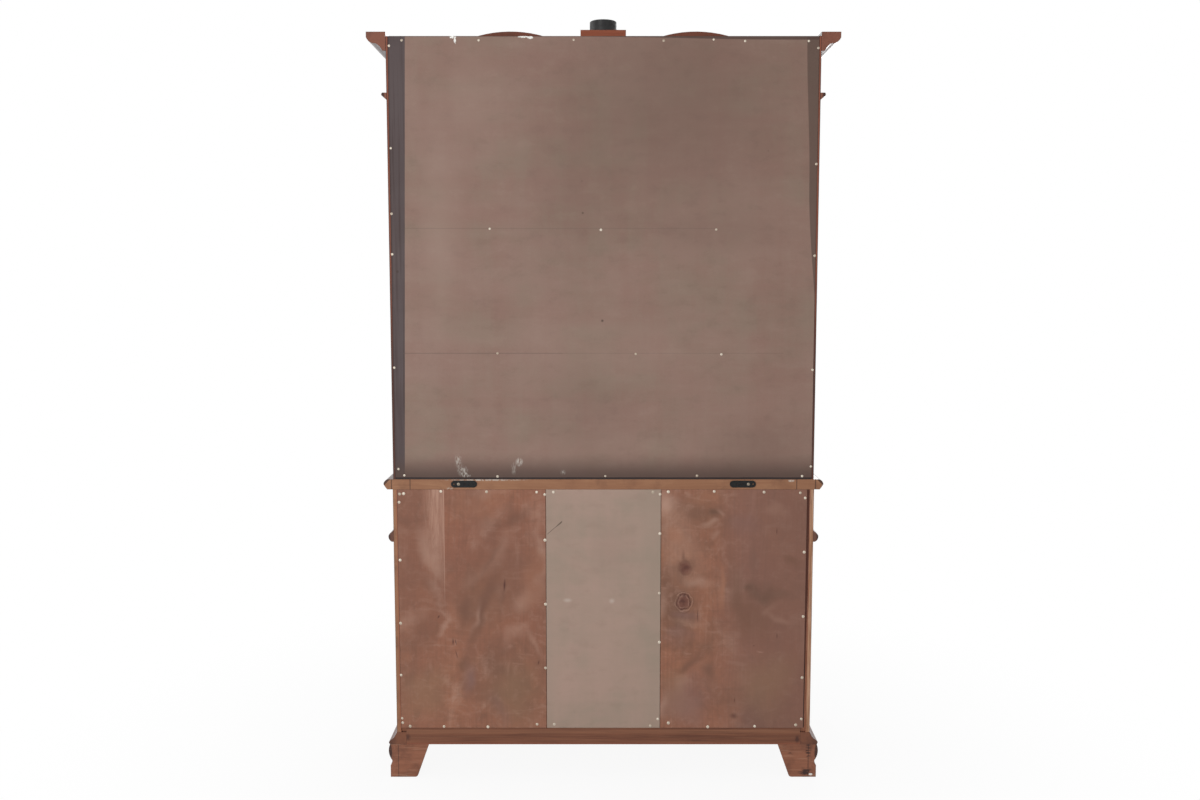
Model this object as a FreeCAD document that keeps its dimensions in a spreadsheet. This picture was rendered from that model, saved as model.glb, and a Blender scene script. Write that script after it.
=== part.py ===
"""China cabinet in two pieces: a buffet base on ogee bracket feet and a glazed hutch standing on it.

Millimetres. Z is up and the floor is Z = 0. The front faces -Y, the back faces +Y, and left and
right are as seen from the front, so the left is -X. The origin lies under the middle of the piece.
"""
import FreeCAD, Part
import math
import os
import re
import Sketcher
from FreeCAD import Placement, Rotation, Vector

doc = FreeCAD.newDocument("cabinet")
sheet = doc.addObject("Spreadsheet::Sheet", "sizes")

# Driving sizes. Every board, joint and clearance below is worked out from these.
SIZES = {
    # buffet base
    "base_width": 1234,        # over the side panels
    "base_depth": 452,         # back edge of the sides to the front of the face frame
    "foot_tall": 101,
    "plinth_tall": 38,         # moulded lengths between feet and side panels
    "rail_rise": 13,           # the rear rail stands this much above the plinth
    "case_tall": 722,          # bottom board's underside to the top board's underside
    "slab_thick": 30,
    "base_side_thick": 28,
    "base_board_thick": 20,    # partitions, bottom and dust boards
    "base_frame_thick": 22,
    "base_strip": 13,          # rear edge of a side panel left bare beside the back
    "seam_half": 169,          # middle to the seams of the back, and to the partitions
    "back_thick": 5,
    "back_gap": 1,             # seam between two back panels
    "left_back_short": 7,      # the left panel was cut short, so a gap stays beside it
    "base_stile_wide": 44,
    "middle_stile_wide": 36,
    "top_rail_tall": 20,
    "waist_rail_tall": 45,
    "frieze_tall": 97,         # opening of a frieze drawer
    "thin_rail_tall": 20,      # between the middle drawers
    "cleat_tall": 26,
    "guide_tall": 25,
    "shelf_rise": 262,         # base shelf above the bottom board
    "shelf_thick": 19,
    "shelf_set_back": 40,
    "fit_gap": 1,              # play at the ends of a loose shelf
    # drawers
    "front_gap": 2,            # round every inset drawer front and door
    "run_gap": 0.3,            # drawer side above the board that it slides on
    "drawer_front_thick": 20,
    "drawer_side_thick": 12,
    "drawer_floor_thick": 6,
    "drawer_floor_rise": 8,
    "drawer_drop": 10,         # drawer side below the top of its front
    "drawer_deep": 376,
    # doors
    "door_thick": 22,
    "base_door_stile": 62,
    "tongue_deep": 9,          # panel or glass let into the door's frame
    "tongue_thick": 7,
    "tongue_inset": 8,         # front of the door to the tongue
    "field_rise": 5,           # raised field of a panel, ahead of its tongue
    "field_margin": 38,        # width of the bevel round the field
    "hutch_door_stile": 58,
    "hutch_door_foot": 74,
    "glass_thick": 4,
    "bar_wide": 16,            # glazing bars
    "bar_inset": 2,            # front of the door to the bars
    "bar_rows": 4,
    # hinges
    "barrel_radius": 3.5,
    "barrel_out": 4,           # pin's axis ahead of the face frame
    "barrel_tall": 66,
    "pin_radius": 1.6,
    "pin_play": 0.05,
    "knuckle_gap": 0.3,
    "leaf_thick": 0.7,
    "leaf_deep": 17,
    "base_hinge_inset": 86,    # opening's end to the middle of the hinge
    "hutch_hinge_inset": 110,
    # knobs
    "rose_radius": 15,
    "rose_thick": 3,
    "knob_neck": 4.5,
    "rose_bevel": 2,
    "neck_long": 12,           # wall to where the knob starts to swell
    "knob_radius": 13,
    "knob_widest": 18,         # wall to the knob's widest ring
    "knob_face_radius": 14.3,
    "knob_long": 24,
    "knob_inset": 31,          # door edge to the middle of its knob
    "hutch_knob_rise": 433,    # hutch door's foot to its knob
    # hutch
    "hutch_set_in": 2,         # hutch sides inside the sides of the base
    "hutch_depth": 362,
    "hutch_tall": 1264,
    "hutch_side_thick": 22,
    "hutch_strip": 6.5,
    "hutch_board_thick": 22,
    "hutch_lid_thick": 19,
    "hutch_frame_thick": 22,
    "low_shelf_rise": 369,     # hutch foot to the middle of the shelf
    "high_shelf_rise": 727,
    "hutch_stile_wide": 50,
    "hutch_foot_rail": 45,
    "header_tall": 183,        # top of the sides to the top of the door opening
    "astragal_drop": 176,      # top of the sides to the foot of the astragal
    "astragal_tall": 20,
    "astragal_out": 15,
    "astragal_neck": 11.4,     # wall to the foot of the round
    "astragal_slack": 0.4,     # the round's radius, over a half circle's
    "crown_tall": 53,
    "crown_out": 55,
    "crown_fascia": 15,
    "crown_lip": 10,
    "crown_lip_rise": 1,
    "crown_cove_out": 30,
    "crown_cove_top": 21.5,    # moulding's foot to the step between cove and round
    "crown_cove_radius": 34,
    "crown_round_foot": 37,    # wall to where the round starts
    "crown_round_radius": 26,
    "crown_step": 12,          # crown above the side panels
    "arch_middle": 288,        # middle of the piece to the top of each arch
    "arch_radius": 386,
    "arch_rise": 72.5,          # arch above the straight crown
    "finial_half": 70.5,
    "finial_top": 77.5,         # finial block above the straight crown
    "finial_drop": 49,
    "finial_proud": 11,
    "drum_radius": 42,
    "drum_tall": 33.5,
    "drum_round": 4,
    # mouldings of the base
    "slab_lip": 3,             # top board past the side panels, inside its moulding
    "nose_out": 27,
    "nose_rise": 16,           # underside of the top to the tip of its moulding
    "nose_land": 16,
    "nose_under_radius": 64,
    "nose_shoulder": 13,       # wall to the flat top of the moulding
    "plinth_out": 24.5,
    "plinth_ease": 3,          # foot of the bead, in from its widest
    "plinth_bead": 8,
    "plinth_cove_in": 4,       # foot of the cove, in from the widest
    "plinth_cove_foot": 13,
    "plinth_cove_top": 29,
    "plinth_cove_radius": 30,
    "plinth_cap": 5,           # wall to the top of the cove
    "waist_out": 15,
    "waist_lip": 5,
    "waist_tall": 34,
    "waist_round": 17.2,
    "waist_drop": 156,         # top board's underside to the moulding's foot
    # bracket feet
    "foot_inset": 4,           # inner face of a bracket inside the side panel
    "foot_out": 22,
    "bulge_room": 8,           # the mitres reach this far past foot_out
    "toe_out": 21,
    "toe_tall": 36,
    "cusp_out": 16,
    "cusp_rise": 52,
    "ogee_round": 50,
    "ogee_hollow": 22,
    "foot_long": 122,
    "foot_slant": 36,
    "rear_foot_long": 91,      # side bracket's seam to the top inner corner
    "foot_board": 20,
    "foot_round": 6,           # height of the eased corner of a rear foot
    "foot_round_radius": 9.6,
    "foot_round_back": 2,
    "glue_block": 40,
    "glue_drop": 14,           # glue block above the floor
    # mending plates and screws
    "plate_long": 76,
    "plate_wide": 20,
    "plate_thick": 2.5,
    "plate_gap": 0.2,
    "plate_inset": 193,        # side of the base to the screw that the plate turns on
    "plate_far": 54,           # pivot to the far end
    "plate_rise": 16,          # top board's underside to the plate's middle
    "plate_hole_radius": 2.3,
    "plate_hole_step": 13,
    "pivot_shank": 2.22,
    "head_radius": 4.7,
    "head_tall": 1.3,
    "shank_radius": 1.7,
    "screw_long": 19,
    "seam_screw_shift": 3,     # seam screws stand just right of each partition's middle
    "top_row_drop": 8,         # base back's upper edge to its screws
    "foot_row_rise": 6,
    "hutch_row_inset": 12.5,
    "hutch_column_inset": 2.2, # edge of a back panel to the screws beside it
    "right_column_inset": 4,
    "left_column_inset": 5.5,
    "peg_radius": 3,
    "peg_out": 12,
    "peg_in": 8,
    "peg_inset": 60,
    "saw_over": 1,             # saw cuts run this far past the work
}
ARCH_SWEEP = 120               # degrees; more than an arch spans, as saw cuts give it its ends

# Places worked out from the sizes, used by name in the expressions below.
PLACES = {
    "rear": "(base_depth + nose_out - 2 * plate_gap - plate_thick - head_tall) / 2",
    "front": "rear - base_depth",
    "inside_front": "front + base_frame_thick",
    "back_inside": "rear - back_thick",
    "base_half": "base_width / 2",
    "base_inner": "base_half - base_side_thick",
    "panel_edge": "base_half - base_strip",
    "plinth_top": "foot_tall + plinth_tall",
    "case_foot": "plinth_top + rail_rise",
    "case_floor": "case_foot + base_board_thick",
    "case_top": "case_foot + case_tall",
    "base_top_level": "case_top + slab_thick",
    "part_inner": "seam_half - base_board_thick / 2",
    "part_outer": "seam_half + base_board_thick / 2",
    "bay_inner": "seam_half + middle_stile_wide / 2",
    "bay_outer": "base_half - base_stile_wide",
    "middle_bay": "seam_half - middle_stile_wide / 2",
    "frieze_low": "case_top - top_rail_tall - frieze_tall",
    "frieze_high": "case_top - top_rail_tall",
    "door_high": "frieze_low - waist_rail_tall",
    "pitch": "(door_high - case_floor + thin_rail_tall) / 3",
    "hutch_half": "base_half - hutch_set_in",
    "hutch_inner": "hutch_half - hutch_side_thick",
    "hutch_front": "rear - hutch_depth",
    "hutch_inside_front": "hutch_front + hutch_frame_thick",
    "hutch_foot": "base_top_level",
    "hutch_top": "hutch_foot + hutch_tall",
    "hutch_open": "hutch_half - hutch_stile_wide",
    "hutch_low": "hutch_foot + hutch_foot_rail",
    "hutch_high": "hutch_top - header_tall",
    "crown_top": "hutch_top + crown_step",
    "arch_level": "crown_top + arch_rise - arch_radius",
    "finial_foot": "crown_top - finial_drop",
    "nose_level": "case_top + plate_rise",
    "plate_pivot": "base_half - plate_inset",
}
WORD = re.compile(r"[a-z][a-z_]*")


def full(expression):
    """Spell out an expression: places become their own expressions, sizes become sheet cells."""
    def spelled(found):
        word = found.group()
        if word in PLACES:
            return "(" + full(PLACES[word]) + ")"
        return "sizes." + word if word in SIZES else word
    return WORD.sub(spelled, str(expression))


def value(expression):
    return float(sheet.evalExpression(full(expression)))


for row, (alias, size) in enumerate(SIZES.items(), start=1):
    sheet.set(f"A{row}", str(size))
    sheet.setAlias(f"A{row}", alias)
doc.recompute()


# Helpers: each returns a document object whose sizes are bound to the sheet.

def bind(thing, **expressions):
    for name, expression in expressions.items():
        thing.setExpression(name, full(expression))


def place(thing, across=0, deep=0, up=0):
    for axis, expression in (("x", across), ("y", deep), ("z", up)):
        thing.setExpression("Placement.Base." + axis, full(expression))


def board(name, left, right, front, back, low, high):
    """A plain board between six planes."""
    box = doc.addObject("Part::Box", name)
    bind(box, Length=f"({right}) - ({left})", Width=f"({back}) - ({front})", Height=f"({high}) - ({low})")
    place(box, left, front, low)
    return box


def rod(name, radius, length, across, deep, up, turn=None):
    """A round bar from a point, along Z, or along the axis that the turn brings Z to."""
    bar = doc.addObject("Part::Cylinder", name)
    bind(bar, Radius=radius, Height=length)
    if turn is not None:
        bar.Placement = Placement(Vector(), turn)
    place(bar, across, deep, up)
    return bar


ALONG_X = Rotation(Vector(0, 1, 0), 90)
ALONG_Y = Rotation(Vector(1, 0, 0), -90)


def joined(name, *members):
    fuse = doc.addObject("Part::MultiFuse", name)
    fuse.Shapes = list(members)
    return fuse


def less(name, base, tool):
    cut = doc.addObject("Part::Cut", name)
    cut.Base = base
    cut.Tool = tool
    return cut


def mirrored(name, source):
    """The same piece on the right-hand side."""
    twin = doc.addObject("Part::Mirroring", name)
    twin.Source = source
    twin.Normal = Vector(1, 0, 0)
    return twin


def gathered(name, members):
    """Separate solids that share one node."""
    group = doc.addObject("Part::Compound", name)
    group.Links = list(members)
    return group


def plane_of(body, role):
    return next(part for part in body.Origin.OriginFeatures if part.Role == role)


def sketch_on(body, role, offset):
    sketch = body.newObject("Sketcher::SketchObject", body.Name + "_sketch")
    sketch.AttachmentSupport = [(plane_of(body, role), "")]
    sketch.MapMode = "FlatFace"
    sketch.setExpression("AttachmentOffset.Base.z", full(offset))
    return sketch


def arc_between(start, end, radius, side):
    """Arc from start to end; side 1 turns left on the way and -1 turns right."""
    chord = end - start
    rise = math.sqrt(max(radius ** 2 - (chord.Length / 2) ** 2, 0))
    centre = (start + end) / 2 + Vector(-chord.y, chord.x, 0).normalize() * rise * side
    first, last = (start, end) if side > 0 else (end, start)
    angles = [math.atan2(p.y - centre.y, p.x - centre.x) for p in (first, last)]
    return Part.ArcOfCircle(Part.Circle(centre, Vector(0, 0, 1), radius), *angles)


def draw(sketch, corners):
    """Closed outline. A corner is (across, up), or (across, up, radius, side) where an arc ends there."""
    points = [Vector(value(corner[0]), value(corner[1]), 0) for corner in corners]
    ends = []
    for i, corner in enumerate(corners):
        start = points[i - 1]
        if len(corner) == 4:
            side = corner[3]
            index = sketch.addGeometry(arc_between(start, points[i], value(corner[2]), side))
            rule = sketch.addConstraint(Sketcher.Constraint("Radius", index, value(corner[2])))
            sketch.setExpression(f"Constraints[{rule}]", full(corner[2]))
        else:
            side = 1
            index = sketch.addGeometry(Part.LineSegment(start, points[i]))
        ends.append((index, 1, 2) if side > 0 else (index, 2, 1))
    for i, (index, start, end) in enumerate(ends):
        following = ends[(i + 1) % len(ends)]
        sketch.addConstraint(Sketcher.Constraint("Coincident", index, end, following[0], following[1]))
        for kind, place_value, expression in (
            ("DistanceX", points[i].x, corners[i][0]),
            ("DistanceY", points[i].y, corners[i][1]),
        ):
            rule = sketch.addConstraint(Sketcher.Constraint(kind, -1, 1, index, end, place_value))
            sketch.setExpression(f"Constraints[{rule}]", full(expression))


def padded(name, role, offset, corners, length, reverse=False):
    """A body padded from an outline on one of its own planes."""
    body = doc.addObject("PartDesign::Body", name)
    sketch = sketch_on(body, role, offset)
    draw(sketch, corners)
    pad = body.newObject("PartDesign::Pad", name + "_pad")
    pad.Profile = sketch
    pad.Reversed = reverse
    bind(pad, Length=length)
    body.Tip = pad
    doc.recompute()
    return body


def trimmed(body, role, *outlines):
    """Saw the body square to one of its planes, right through, along each outline."""
    for corners in outlines:
        before = body.Shape.Volume
        sketch = sketch_on(body, role, "0")
        draw(sketch, corners)
        pocket = body.newObject("PartDesign::Pocket", body.Name + "_saw")
        pocket.Profile = sketch
        pocket.Type = "ThroughAll"
        pocket.SideType = "Symmetric"
        body.Tip = pocket
        doc.recompute()
        if body.Shape.Volume >= before:
            raise RuntimeError(body.Name + ": the saw cut removed nothing")
    return body


def turned(name, corners):
    """A turned body: an outline in (along Y, out) spun about the Y axis of the body."""
    body = doc.addObject("PartDesign::Body", name)
    sketch = sketch_on(body, "YZ_Plane", "0")
    draw(sketch, corners)
    spin = body.newObject("PartDesign::Revolution", name + "_spin")
    spin.Profile = sketch
    spin.ReferenceAxis = (sketch, ["H_Axis"])
    spin.Angle = 360
    body.Tip = spin
    doc.recompute()
    return body


# Mouldings. A profile is a list of corners (out from the wall, up from the foot).

def on_wall(profile, wall, foot, outward):
    """Profile corners set against a wall; outward is "+" or "-"."""
    return [(f"{wall} {outward} ({corner[0]})", f"{foot} + {corner[1]}", *corner[2:]) for corner in profile]


def turned_over(profile):
    """The same outline seen from the other side, so that its arcs turn the other way."""
    return [corner if len(corner) == 2 else (*corner[:3], -corner[3]) for corner in profile]


def moulded_sides(name, profile, foot, inset, reach, half, front):
    """Right-hand length along the side, mitred at the front corner, and its left-hand twin."""
    right = padded(name + "_right", "XZ_Plane", "-(rear)", on_wall(profile, half, foot, "+"),
                   f"rear - ({front}) + {reach}")
    outside = f"{half} + {reach} + saw_over"
    inside = f"{half} - ({inset})"
    ahead = f"{front} - {reach} - saw_over"
    trimmed(right, "XY_Plane", [(inside, f"{front} + {inset}"), (inside, ahead), (outside, ahead)])
    return [right, mirrored(name + "_left", right)]


def moulded_front(name, profile, foot, inset, reach, half, front):
    """Length across the front, mitred at both ends."""
    run = padded(name + "_front", "YZ_Plane", f"-({half} + {reach})",
                 on_wall(turned_over(profile), front, foot, "-"), f"2 * ({half} + {reach})")
    for sign in ("", "-"):
        trimmed(run, "XY_Plane", [
            (f"{sign}({half} - ({inset}))", f"{front} + {inset}"),
            (f"{sign}({half} + {reach} + saw_over)", f"{front} - {reach} - saw_over"),
            (f"{sign}({half} + {reach} + saw_over)", f"{front} + {inset}"),
        ])
    return run


def moulding(name, profile, foot, inset, reach, half, front):
    """A moulding round the front and both sides, in three mitred lengths."""
    return gathered(name, [
        moulded_front(name, profile, foot, inset, reach, half, front),
        *moulded_sides(name, profile, foot, inset, reach, half, front),
    ])


NODES = []


def node(thing, label=None):
    """Keep the object as a node; its label names its file."""
    thing.Label = label or thing.Name
    NODES.append(thing)
    return thing


# ---------------------------------------------------------------- buffet base, case

def rabbeted_side(name, inner, outer, ledge, front, low, high):
    """Right-hand side panel with a rabbet for the back along its rear inner edge."""
    return padded(name, "XY_Plane", low, [
        (inner, front),
        (outer, front),
        (outer, "rear"),
        (ledge, "rear"),
        (ledge, "back_inside"),
        (inner, "back_inside"),
    ], f"({high}) - ({low})")


base_side = rabbeted_side("base_side_right", "base_inner", "base_half", "panel_edge",
                          "inside_front", "plinth_top", "case_top")
node(base_side)
node(mirrored("base_side_left", base_side))
node(board("base_bottom", "-base_inner", "base_inner", "inside_front", "back_inside",
           "case_foot", "case_floor"))
node(board("base_rear_rail", "-base_inner", "base_inner", "rear - base_board_thick", "rear",
           "foot_tall", "case_foot"))


def frieze_bay(name, left, right):
    """Dust board under a frieze drawer, its guides, and the cleat that the back is screwed to."""
    open_left, open_right = (("bay_inner", "bay_outer") if left == "part_outer"
                             else ("-middle_bay", "middle_bay"))
    return [
        board(name + "_dust", left, right, "inside_front", "back_inside",
              "frieze_low - base_board_thick", "frieze_low"),
        board(name + "_guide_a", left, open_left, "inside_front", "back_inside",
              "frieze_low", "frieze_low + guide_tall"),
        board(name + "_guide_b", open_right, right, "inside_front", "back_inside",
              "frieze_low", "frieze_low + guide_tall"),
        board(name + "_cleat", left, right, "back_inside - base_board_thick", "back_inside",
              "case_top - cleat_tall", "case_top"),
    ]


def middle_level(number):
    """Foot of one of the middle drawers' openings, counted from the bottom."""
    return f"case_floor + {number} * pitch"


def drawer_dividers():
    partition = board("partition_right", "part_inner", "part_outer", "inside_front", "back_inside",
                      "case_floor", "case_top")
    side_bay = frieze_bay("side_bay", "part_outer", "base_inner")
    boards = [partition, mirrored("partition_left", partition)]
    boards += side_bay
    boards += [mirrored(piece.Name + "_left", piece) for piece in side_bay]
    boards += frieze_bay("middle_bay", "-part_inner", "part_inner")
    for number in range(3):
        floor = middle_level(number)
        guide = board(f"middle_guide_{number}", "middle_bay", "part_inner", "inside_front", "back_inside",
                      floor, f"{floor} + guide_tall")
        boards += [guide, mirrored(guide.Name + "_left", guide)]
        if number > 0:
            boards.append(board(f"middle_dust_{number}", "-part_inner", "part_inner", "inside_front",
                                "back_inside", f"{floor} - base_board_thick", floor))
    return gathered("drawer_dividers", boards)


node(drawer_dividers())


def base_face_frame():
    stile = board("base_stile_right", "bay_outer", "base_half", "front", "inside_front",
                  "plinth_top", "case_top")
    low_post = board("low_post_right", "middle_bay", "bay_inner", "front", "inside_front",
                     "case_floor", "door_high")
    high_post = board("high_post_right", "middle_bay", "bay_inner", "front", "inside_front",
                      "frieze_low", "frieze_high")
    pieces = [stile, low_post, high_post]
    pieces += [mirrored(piece.Name + "_twin", piece) for piece in list(pieces)]
    for name, low, high in (
        ("base_foot_rail", "plinth_top", "case_floor"),
        ("base_waist_rail", "door_high", "frieze_low"),
        ("base_top_rail", "frieze_high", "case_top"),
    ):
        pieces.append(board(name, "-bay_outer", "bay_outer", "front", "inside_front", low, high))
    for number in (1, 2):
        level = middle_level(number)
        pieces.append(board(f"base_thin_rail_{number}", "-middle_bay", "middle_bay", "front", "inside_front",
                            f"{level} - thin_rail_tall", level))
    return gathered("base_face_frame", pieces)


node(base_face_frame())

base_back = board("base_back_right", "seam_half + back_gap / 2", "panel_edge", "back_inside", "rear",
                  "case_foot", "case_top")
node(base_back)
node(board("base_back_left", "left_back_short - panel_edge", "-(seam_half + back_gap / 2)",
           "back_inside", "rear", "case_foot", "case_top"))
node(board("base_back_middle", "-(seam_half - back_gap / 2)", "seam_half - back_gap / 2",
           "back_inside", "rear", "case_foot", "case_top"))

# The top is a slab with a pointed moulding planted on its front and side edges.
NOSE = [
    ("slab_lip", "0"),
    ("nose_land", "0"),
    ("nose_out", "nose_rise", "nose_under_radius", 1),
    ("nose_shoulder", "slab_thick", "nose_rise", 1),
    ("slab_lip", "slab_thick"),
]
slab = board("base_slab", "-(base_half + slab_lip)", "base_half + slab_lip", "front - slab_lip", "rear",
             "case_top", "base_top_level")
nose = moulding("top_nose", NOSE, "case_top", "-slab_lip", "nose_out", "base_half", "front")
node(gathered("base_top", [slab, *nose.Links]))

PLINTH = [
    ("-base_side_thick", "0"),
    ("plinth_out - plinth_ease", "0"),
    ("plinth_out", "plinth_bead", "plinth_bead", 1),
    ("plinth_out - plinth_cove_in", "plinth_cove_foot"),
    ("plinth_cap", "plinth_cove_top", "plinth_cove_radius", -1),
    ("0", "plinth_tall"),
    ("-base_side_thick", "plinth_tall"),
]
node(moulding("plinth_moulding", PLINTH, "foot_tall", "base_side_thick", "plinth_out", "base_half", "front"))

WAIST = [
    ("0", "0"),
    ("waist_lip", "0"),
    ("waist_out", "waist_tall / 2", "waist_round", 1),
    ("waist_lip", "waist_tall - waist_lip", "waist_round", 1),
    ("0", "waist_tall"),
]
node(moulding("waist_moulding", WAIST, "case_top - waist_drop", "0", "waist_out", "base_half", "front"))


# ---------------------------------------------------------------- bracket feet

OGEE = [
    ("-foot_inset", "0"),
    ("toe_out", "0"),
    ("toe_out", "toe_tall"),
    ("cusp_out", "cusp_rise", "ogee_hollow", -1),
    ("foot_out", "foot_tall", "ogee_round", 1),
    ("-foot_inset", "foot_tall"),
]
OGEE_REACH = "(foot_out + bulge_room)"


def bracket_along_side(name, back_end, front_end, slant_end):
    """Right-hand bracket with the ogee face outwards; its free end slopes in towards the floor."""
    bracket = padded(name, "XZ_Plane", f"-({back_end})", on_wall(OGEE, "base_half", "0", "+"),
                     f"({back_end}) - ({front_end})")
    inward, free_end = ("+", front_end) if slant_end == "front" else ("-", back_end)
    outward = "-" if slant_end == "front" else "+"
    trimmed(bracket, "YZ_Plane", [
        (f"{free_end}", "foot_tall"),
        (f"{free_end} {inward} foot_slant", "0"),
        (f"{free_end} {inward} foot_slant", "-saw_over"),
        (f"{free_end} {outward} saw_over", "-saw_over"),
        (f"{free_end} {outward} saw_over", "foot_tall"),
    ])
    return bracket


def rear_foot():
    side = bracket_along_side("rear_foot_side", "rear", "rear - foot_long", "front")
    seam = "base_half - foot_inset"
    back = padded("rear_foot_back", "XZ_Plane", "-(rear)", [
        (seam, "0"),
        (seam, "foot_tall"),
        (f"{seam} - rear_foot_long", "foot_tall"),
        (f"{seam} - rear_foot_long + foot_slant - foot_round_back", "foot_round"),
        (f"{seam} - rear_foot_long + foot_slant + foot_round", "0", "foot_round_radius", 1),
    ], "foot_board")
    block = board("rear_foot_block", f"{seam} - glue_block", seam, "rear - foot_board - glue_block",
                  "rear - foot_board", "glue_drop", "foot_tall")
    return [side, back, block]


def front_foot():
    side = bracket_along_side("front_foot_side", "front + foot_long", "front - " + OGEE_REACH, "back")
    reach = OGEE_REACH
    trimmed(side, "XY_Plane", [
        ("base_half - foot_inset", "front + foot_inset"),
        ("base_half - foot_inset", f"front - {reach} - saw_over"),
        (f"base_half + {reach} + saw_over", f"front - {reach} - saw_over"),
    ])
    face = padded("front_foot_face", "YZ_Plane", "base_half - foot_long",
                  on_wall(turned_over(OGEE), "front", "0", "-"), f"foot_long + {reach}")
    trimmed(face, "XZ_Plane", [
        ("base_half - foot_long", "foot_tall"),
        ("base_half - foot_long + foot_slant", "0"),
        ("base_half - foot_long + foot_slant", "-saw_over"),
        ("base_half - foot_long - saw_over", "-saw_over"),
        ("base_half - foot_long - saw_over", "foot_tall"),
    ])
    trimmed(face, "XY_Plane", [
        ("base_half - foot_inset", "front + foot_inset"),
        (f"base_half + {reach} + saw_over", f"front - {reach} - saw_over"),
        (f"base_half + {reach} + saw_over", "front + foot_inset"),
    ])
    block = board("front_foot_block", "base_half - foot_inset - glue_block", "base_half - foot_inset",
                  "front + foot_inset", "front + foot_inset + glue_block", "glue_drop", "foot_tall")
    return [side, face, block]


for name, pieces in (("front_feet", front_foot()), ("rear_feet", rear_foot())):
    node(gathered(name, pieces + [mirrored(piece.Name + "_left", piece) for piece in pieces]))


# ---------------------------------------------------------------- base shelves on pegs

def base_shelves():
    front, back = "inside_front + shelf_set_back", "back_inside - fit_gap"
    low = "case_floor + shelf_rise"
    shelf = board("base_shelf_right", "part_outer + fit_gap", "base_inner - fit_gap", front, back,
                  low, f"{low} + shelf_thick")
    pegs = []
    for end, start in (("inner", "part_outer - peg_in"), ("outer", "base_inner - peg_out")):
        for edge, deep in (("front", f"{front} + peg_inset"), ("back", f"{back} - peg_inset")):
            pegs.append(rod(f"shelf_peg_{end}_{edge}", "peg_radius", "peg_out + peg_in", start, deep,
                            f"{low} - peg_radius", ALONG_X))
    return shelf, pegs


shelf, pegs = base_shelves()
node(gathered("base_shelves", [shelf, mirrored("base_shelf_left", shelf)]))
node(gathered("shelf_pegs", pegs + [mirrored(peg.Name + "_left", peg) for peg in pegs]))


# ---------------------------------------------------------------- knobs

def knob(name, across, up, wall):
    """Turned knob on a round rose, standing out from a wall towards the front."""
    body = turned(name, [
        ("0", "0"),
        ("0", "rose_radius"),
        ("-rose_thick", "rose_radius - rose_bevel"),
        ("-rose_thick", "knob_neck"),
        ("-neck_long", "knob_neck"),
        ("-knob_widest", "knob_radius", "knob_radius", -1),
        ("-knob_long", "0", "knob_face_radius", -1),
    ])
    place(body, across, wall, up)
    return body


# ---------------------------------------------------------------- drawers

def drawer(name, left, right, low, high, knob_places):
    """An inset drawer in an opening of the base's face frame: front, box and knobs."""
    box_left, box_right = f"{left} + front_gap", f"{right} - front_gap"
    box_front = "front + drawer_front_thick"
    box_back = f"{box_front} + drawer_deep"
    box_low = f"{low} + run_gap"
    box_high = f"{high} - front_gap - drawer_drop"
    inner_left, inner_right = f"{box_left} + drawer_side_thick", f"{box_right} - drawer_side_thick"
    floor_low = f"{box_low} + drawer_floor_rise"
    floor_high = f"{floor_low} + drawer_floor_thick"
    front = board(name + "_front", box_left, box_right, "front", box_front,
                  f"{low} + front_gap", f"{high} - front_gap")
    box = gathered(name + "_box", [
        board(name + "_side_a", box_left, inner_left, box_front, box_back, box_low, box_high),
        board(name + "_side_b", inner_right, box_right, box_front, box_back, box_low, box_high),
        board(name + "_back", inner_left, inner_right, f"{box_back} - drawer_side_thick", box_back,
              floor_high, box_high),
        board(name + "_floor", inner_left, inner_right, box_front, box_back, floor_low, floor_high),
    ])
    middle = f"(({low}) + ({high})) / 2"
    knobs = [knob(f"{name}_knob_{i}", across, middle, "front") for i, across in enumerate(knob_places)]
    return front, box, gathered(name + "_knobs", knobs)


BAY_WIDE = "(bay_outer - bay_inner)"
side_drawer = drawer("drawer_frieze_right", "bay_inner", "bay_outer", "frieze_low", "frieze_high",
                     [f"bay_inner + {BAY_WIDE} / 4", f"bay_outer - {BAY_WIDE} / 4"])
for piece in side_drawer:
    node(piece)
    node(mirrored(piece.Name.replace("right", "left"), piece))
for piece in drawer("drawer_frieze_middle", "-middle_bay", "middle_bay", "frieze_low", "frieze_high", ["0"]):
    node(piece)
for number, tier in enumerate(("bottom", "centre", "upper")):
    floor = middle_level(number)
    for piece in drawer("drawer_" + tier, "-middle_bay", "middle_bay", floor,
                        f"{floor} + pitch - thin_rail_tall", ["0"]):
        node(piece)


# ---------------------------------------------------------------- doors and hinges

def grooved_frame(name, left, right, low, high, front, stile, foot_rail, groove_front, groove_thick):
    """Stiles and rails of a door, grooved on their inner edges for a panel or a pane."""
    back = f"{front} + door_thick"
    inner_left, inner_right = f"{left} + {stile}", f"{right} - {stile}"
    inner_low, inner_high = f"{low} + {foot_rail}", f"{high} - {stile}"
    groove = board(name + "_groove", f"{inner_left} - tongue_deep", f"{inner_right} + tongue_deep",
                   groove_front, f"{groove_front} + {groove_thick}",
                   f"{inner_low} - tongue_deep", f"{inner_high} + tongue_deep")
    members = [
        board(name + "_stile_a", left, inner_left, front, back, low, high),
        board(name + "_stile_b", inner_right, right, front, back, low, high),
        board(name + "_rail_low", inner_left, inner_right, front, back, low, inner_low),
        board(name + "_rail_high", inner_left, inner_right, front, back, inner_high, high),
    ]
    grooved = [less(member.Name + "_grooved", member, groove) for member in members]
    return grooved, (inner_left, inner_right, inner_low, inner_high)


def tongue_board(name, inside, front, thick):
    """A pane or panel that fills the grooves of its door."""
    left, right, low, high = inside
    return board(name, f"{left} - tongue_deep", f"{right} + tongue_deep", front, f"{front} + {thick}",
                 f"{low} - tongue_deep", f"{high} + tongue_deep")


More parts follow.
